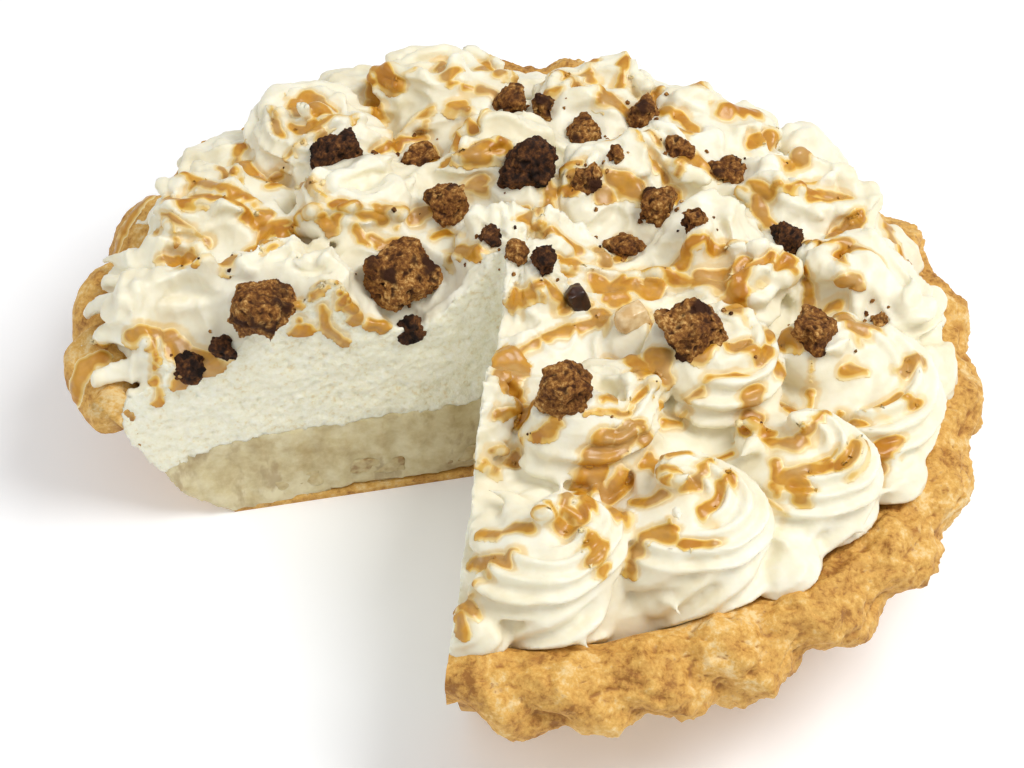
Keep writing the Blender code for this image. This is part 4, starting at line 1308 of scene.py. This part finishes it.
def caramel_skin(name, base, beads):
    """A skin over the beads that lies on a base and dips into it at its edge."""
    points = points_of(base)
    hollow = hollows(points, edges_of(base), 30)
    inside = cover(points, beads, hollow)
    faces = [polygon.vertices[:] for polygon in base.polygons
             if all(inside[index] > -1.3 * MM for index in polygon.vertices)]
    used = sorted({index for face in faces for index in face})
    number = {old: new for new, old in enumerate(used)}
    mesh = bpy.data.meshes.new(name)
    mesh.from_pydata(points[used].tolist(), [], [[number[index] for index in face] for face in faces])
    made = new_object(name, mesh)
    finer = made.modifiers.new("finer", "SUBSURF")
    finer.levels = finer.render_levels = 1
    applied(made)
    points, outward = points_of(made.data), normals_of(made.data)
    depth = cover(points, beads, hollows(points, edges_of(made.data), 60))
    lift = np.where(depth > 0, 0.6 * MM * smooth_step(-0.4 * MM, 2.4 * MM, depth), 0.7 * depth)
    move_points(made.data, points + outward * np.clip(lift, -0.8 * MM, 1.0 * MM)[:, None])
    paint(made.data, "thickness", smooth_step(0.0, 2.2 * MM, depth))
    solid = made.modifiers.new("underside", "SOLIDIFY")
    solid.thickness = 0.9 * MM
    solid.offset = -1.0
    applied(made)
    return inside, made.data


trickles = beads_on_cream() + beads_of(DRIPS) + beads_of(RIM_DRIPS)
print("beads of caramel:", len(trickles))
cream_cover, on_cream = caramel_skin("caramel on cream", cream.data, trickles)
_, on_rim = caramel_skin("caramel on rim", crust.data, on_crust(beads_of(RIM_DRIPS)))
paint(cream.data, "stain", smooth_step(-1.5 * MM, 0.0 * MM, cream_cover))
for helper in ("caramel on cream", "caramel on rim"):
    bpy.data.objects.remove(bpy.data.objects[helper])
caramel = joined("caramel", [on_cream, on_rim])

# %% [markdown]
# Caramel is clear and golden where it is thin, deep amber where it lies thick, and milky where cream has
# mixed into it. The painted thickness and one noise choose between those colours.

# %% Caramel finish
sauce = Finish("caramel_sauce", 0.32)
golden_or_milky = sauce.noise(9 * MM, 3.0)
thin_colour = sauce.ramp(golden_or_milky, [(0.38, srgb(226, 184, 84)), (0.62, srgb(222, 188, 118))])
thick_colour = sauce.ramp(golden_or_milky, [(0.36, srgb(182, 120, 26)), (0.47, srgb(202, 146, 46)),
                                            (0.56, srgb(184, 134, 60)), (0.66, srgb(190, 148, 84))])
body = sauce.mix(sauce.between(0.12, 0.55, sauce.painted("thickness")), thin_colour, thick_colour)
sauce.colour(sauce.mix(sauce.between(0.16, 0.0, sauce.painted("thickness")), body, srgb(236, 214, 160)))
sauce.glow(0.1, 1.5 * MM, (1.0, 0.6, 0.2))
sauce.bump(sauce.noise(1.5 * MM, 2.0), 0.1, 0.3 * MM)
dress(caramel, sauce.material, "pale_toffee")

# %% [markdown]
# ## Cake, chocolate and toffee
#
# The brown pieces are torn cake: lumps of grains with pits between them, paler where the crumb was
# torn and darker where it was baked against the tin. Their pits are painted darker still, as painted
# shade. Each starts as the lump in the source, is rebuilt as a fine net and gets grains from cell noise.

# %% Cake finish
CAKE = [f"cake_chunk_{number:02}" for number in range(1, 29)]
DARK_CAKE = {"cake_chunk_01", "cake_chunk_03", "cake_chunk_09", "cake_chunk_11", "cake_chunk_20",
             "cake_chunk_27", "cake_chunk_28", "cake_chunk_26"}


def cake_finish(name, stops, dark):
    """Crumb with pale and dark grains, painted shade in its pits, and darker on some baked sides."""
    made = Finish(name, 0.85)
    crumb = made.sums((made.noise(1.2 * MM, 4.0, 0.7), 0.65), (made.noise(6 * MM, 2.0), 0.35))
    pale_and_dark = made.ramp(crumb, stops)
    baked = made.mix(made.between(0.56, 0.66, made.noise(9 * MM, 2.0)), pale_and_dark, dark)
    # painted shade: the deeper a point lies in a pit, the nearer its colour is to the dark one
    made.colour(made.mix(made.between(0.6, 1.1, made.painted("pit")), baked, dark))
    made.bump(made.sums((made.noise(0.5 * MM, 3.0, 0.6), 0.6), (made.grains(0.7 * MM), 0.5)), 0.7, 0.3 * MM)
    made.shader.inputs["Specular IOR Level"].default_value = 0.25
    return made.material


light_cake = cake_finish("brown_cake_crumb", [(0.38, srgb(78, 42, 14)), (0.47, srgb(116, 72, 30)),
                                              (0.55, srgb(154, 106, 50)), (0.63, srgb(206, 162, 98))],
                         srgb(56, 28, 9))
dark_cake = cake_finish("dark_cake_crumb", [(0.38, srgb(36, 19, 9)), (0.48, srgb(66, 37, 17)),
                                            (0.58, srgb(102, 63, 30)), (0.68, srgb(150, 104, 58))],
                        srgb(24, 12, 7))


# %% Cake pieces
CAKE_SPACING = 0.38 * MM
FLAT_SIDES = 5


def crumbly_piece(node, spacing, seed, material, slot):
    """A torn lump with a few flat sides, grains and pits."""
    piece, places, outward = even_copy(node, "torn_" + node, spacing)
    middle = 0.5 * (places.min(axis=0) + places.max(axis=0))
    half = 0.5 * (places.max(axis=0) - places.min(axis=0))
    draw = random.Random(seed)
    for _ in range(FLAT_SIDES):
        side = np.array([draw.uniform(-1, 1), draw.uniform(-1, 1), draw.uniform(-0.3, 1)])
        side /= np.linalg.norm(side)
        reach = np.linalg.norm(half * side) * draw.uniform(0.62, 0.8)
        beyond = np.maximum(0.0, (places - middle) @ side - reach)
        places -= 0.85 * beyond[:, None] * side
    tears = layered(places, (1.6, 7, seed), (1.1, 3, seed + 2))
    grains = 0.9 * (0.45 - cells(places, 1.6 * MM, seed)) + 0.5 * (0.45 - cells(places, 0.8 * MM, seed + 5))
    pits = -1.7 * np.maximum(0.0, bumps(places, 1.7 * MM, seed + 9) - 0.18)
    places += outward * ((tears + grains + pits) * MM)[:, None]
    places[:, 2] = np.minimum(places[:, 2], box_before[1][2])
    move_points(piece.data, places)
    # painted shade: how deep each point lies among the grains and pits, for darkening in the finish
    paint(piece.data, "pit", np.clip(0.5 - 0.9 * (grains + pits), 0.0, 1.0))
    dress(piece, material, slot, node)
    return piece


cake_pieces = []
for index, node in enumerate(CAKE):
    chosen = dark_cake if node in DARK_CAKE else light_cake
    cake_pieces.append(crumbly_piece(node, CAKE_SPACING, 10 * index + 1, chosen, "brown_cake"))

# %% [markdown]
# One chip of dark chocolate and one piece of pale toffee lie near the tip of the cut. Both are smooth
# and glossy, so they only need soft lumps or facets and a low roughness.

# %% Chocolate chip and toffee
SWEET_SPACING = 0.5 * MM


def sweet_finish(name, roughness, deep, light, grain):
    """A glossy finish in two tones with a faint grain."""
    made = Finish(name, roughness)
    made.colour(made.ramp(made.noise(3 * MM), [(0.35, deep), (0.65, light)]))
    made.bump(made.noise(grain), 0.2, 0.3 * MM)
    return made.material


chocolate = sweet_finish("dark_chocolate_chip", 0.3, srgb(34, 16, 8), srgb(64, 34, 18), 2 * MM)
chip, places, outward = even_copy("chocolate_chip", "smooth_chocolate_chip", SWEET_SPACING)
lumps = 0.3 * MM * bumps(places, 3 * MM)
move_points(chip.data, places + outward * lumps[:, None])
dress(chip, chocolate, "dark_chocolate", "chocolate_chip")

brittle = sweet_finish("pale_toffee_brittle", 0.22, srgb(206, 168, 112), srgb(238, 214, 170), 1.5 * MM)
toffee, places, outward = even_copy("toffee_piece", "glassy_toffee_piece", SWEET_SPACING)
facets = 0.8 * MM * (0.5 - cells(places, 4 * MM, 3.0))
move_points(toffee.data, places + outward * facets[:, None])
dress(toffee, brittle, "pale_toffee", "toffee_piece")

# %% [markdown]
# ## Crumbs
#
# Crumbs fall around each piece of cake, and a few dark specks of vanilla stick to the caramel. They
# are tiny lumps of their own, dropped on the cream by a ray from above and joined into one mesh for
# each kind.

# %% Scattered crumbs


def tiny_lump(centre, size, draw):
    """The mesh of one rough crumb."""
    cage = bmesh.new()
    bmesh.ops.create_icosphere(cage, subdivisions=2, radius=0.5)
    offset = Vector((draw.uniform(-9, 9), draw.uniform(-9, 9), draw.uniform(-9, 9)))
    stretch = [size * draw.uniform(0.7, 1.2) for _ in range(3)]
    turn = draw.uniform(0.0, TURN)
    for vertex in cage.verts:
        point = vertex.co * (1.0 + 0.7 * noise.noise(vertex.co * 2.6 + offset))
        x, y, z = (value * side for value, side in zip(point, stretch))
        vertex.co = centre + Vector((x * math.cos(turn) - y * math.sin(turn),
                                     x * math.sin(turn) + y * math.cos(turn), z))
    return mesh_from(cage, "crumb")


def scatter_on_cream(name, spots, seed):
    """Crumbs at (x, y, size), each lying on the cream."""
    draw = random.Random(seed)
    lumps = []
    for x, y, size in spots:
        height = height_of_cream(x, y)
        if height and height > 55 * MM:
            lumps.append(tiny_lump(Vector((x, y, height + 0.25 * size)), size, draw))
    made = joined(name, lumps)
    for mesh in lumps:
        bpy.data.meshes.remove(mesh)
    return made


# %% Crumbs and specks
CRUMBS_PER_PIECE, SPECKS = 4, 90
fall = random.Random(5)
crumb_spots = []
for piece in cake_pieces:
    low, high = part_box("cake_chunk_" + piece.name[-2:])
    middle, spread = (Vector(low) + Vector(high)) / 2, (high[0] - low[0]) * 0.5
    for _ in range(CRUMBS_PER_PIECE):
        angle, away = fall.uniform(0, TURN), spread * fall.uniform(0.9, 1.7)
        crumb_spots.append((middle.x + away * math.cos(angle), middle.y + away * math.sin(angle),
                            fall.uniform(0.5, 1.5) * MM))
crumbs = scatter_on_cream("cake_crumbs", crumb_spots, 8)
dress(crumbs, light_cake, "brown_cake")

speck_spots = [(*fall.choice(trickles)[:2], fall.uniform(0.35, 0.75) * MM) for _ in range(SPECKS)]
specks = scatter_on_cream("spice_specks", speck_spots, 9)
dress(specks, dark_cake, "brown_cake")

# %% Remove the wedge
bpy.data.objects.remove(missing_slice)
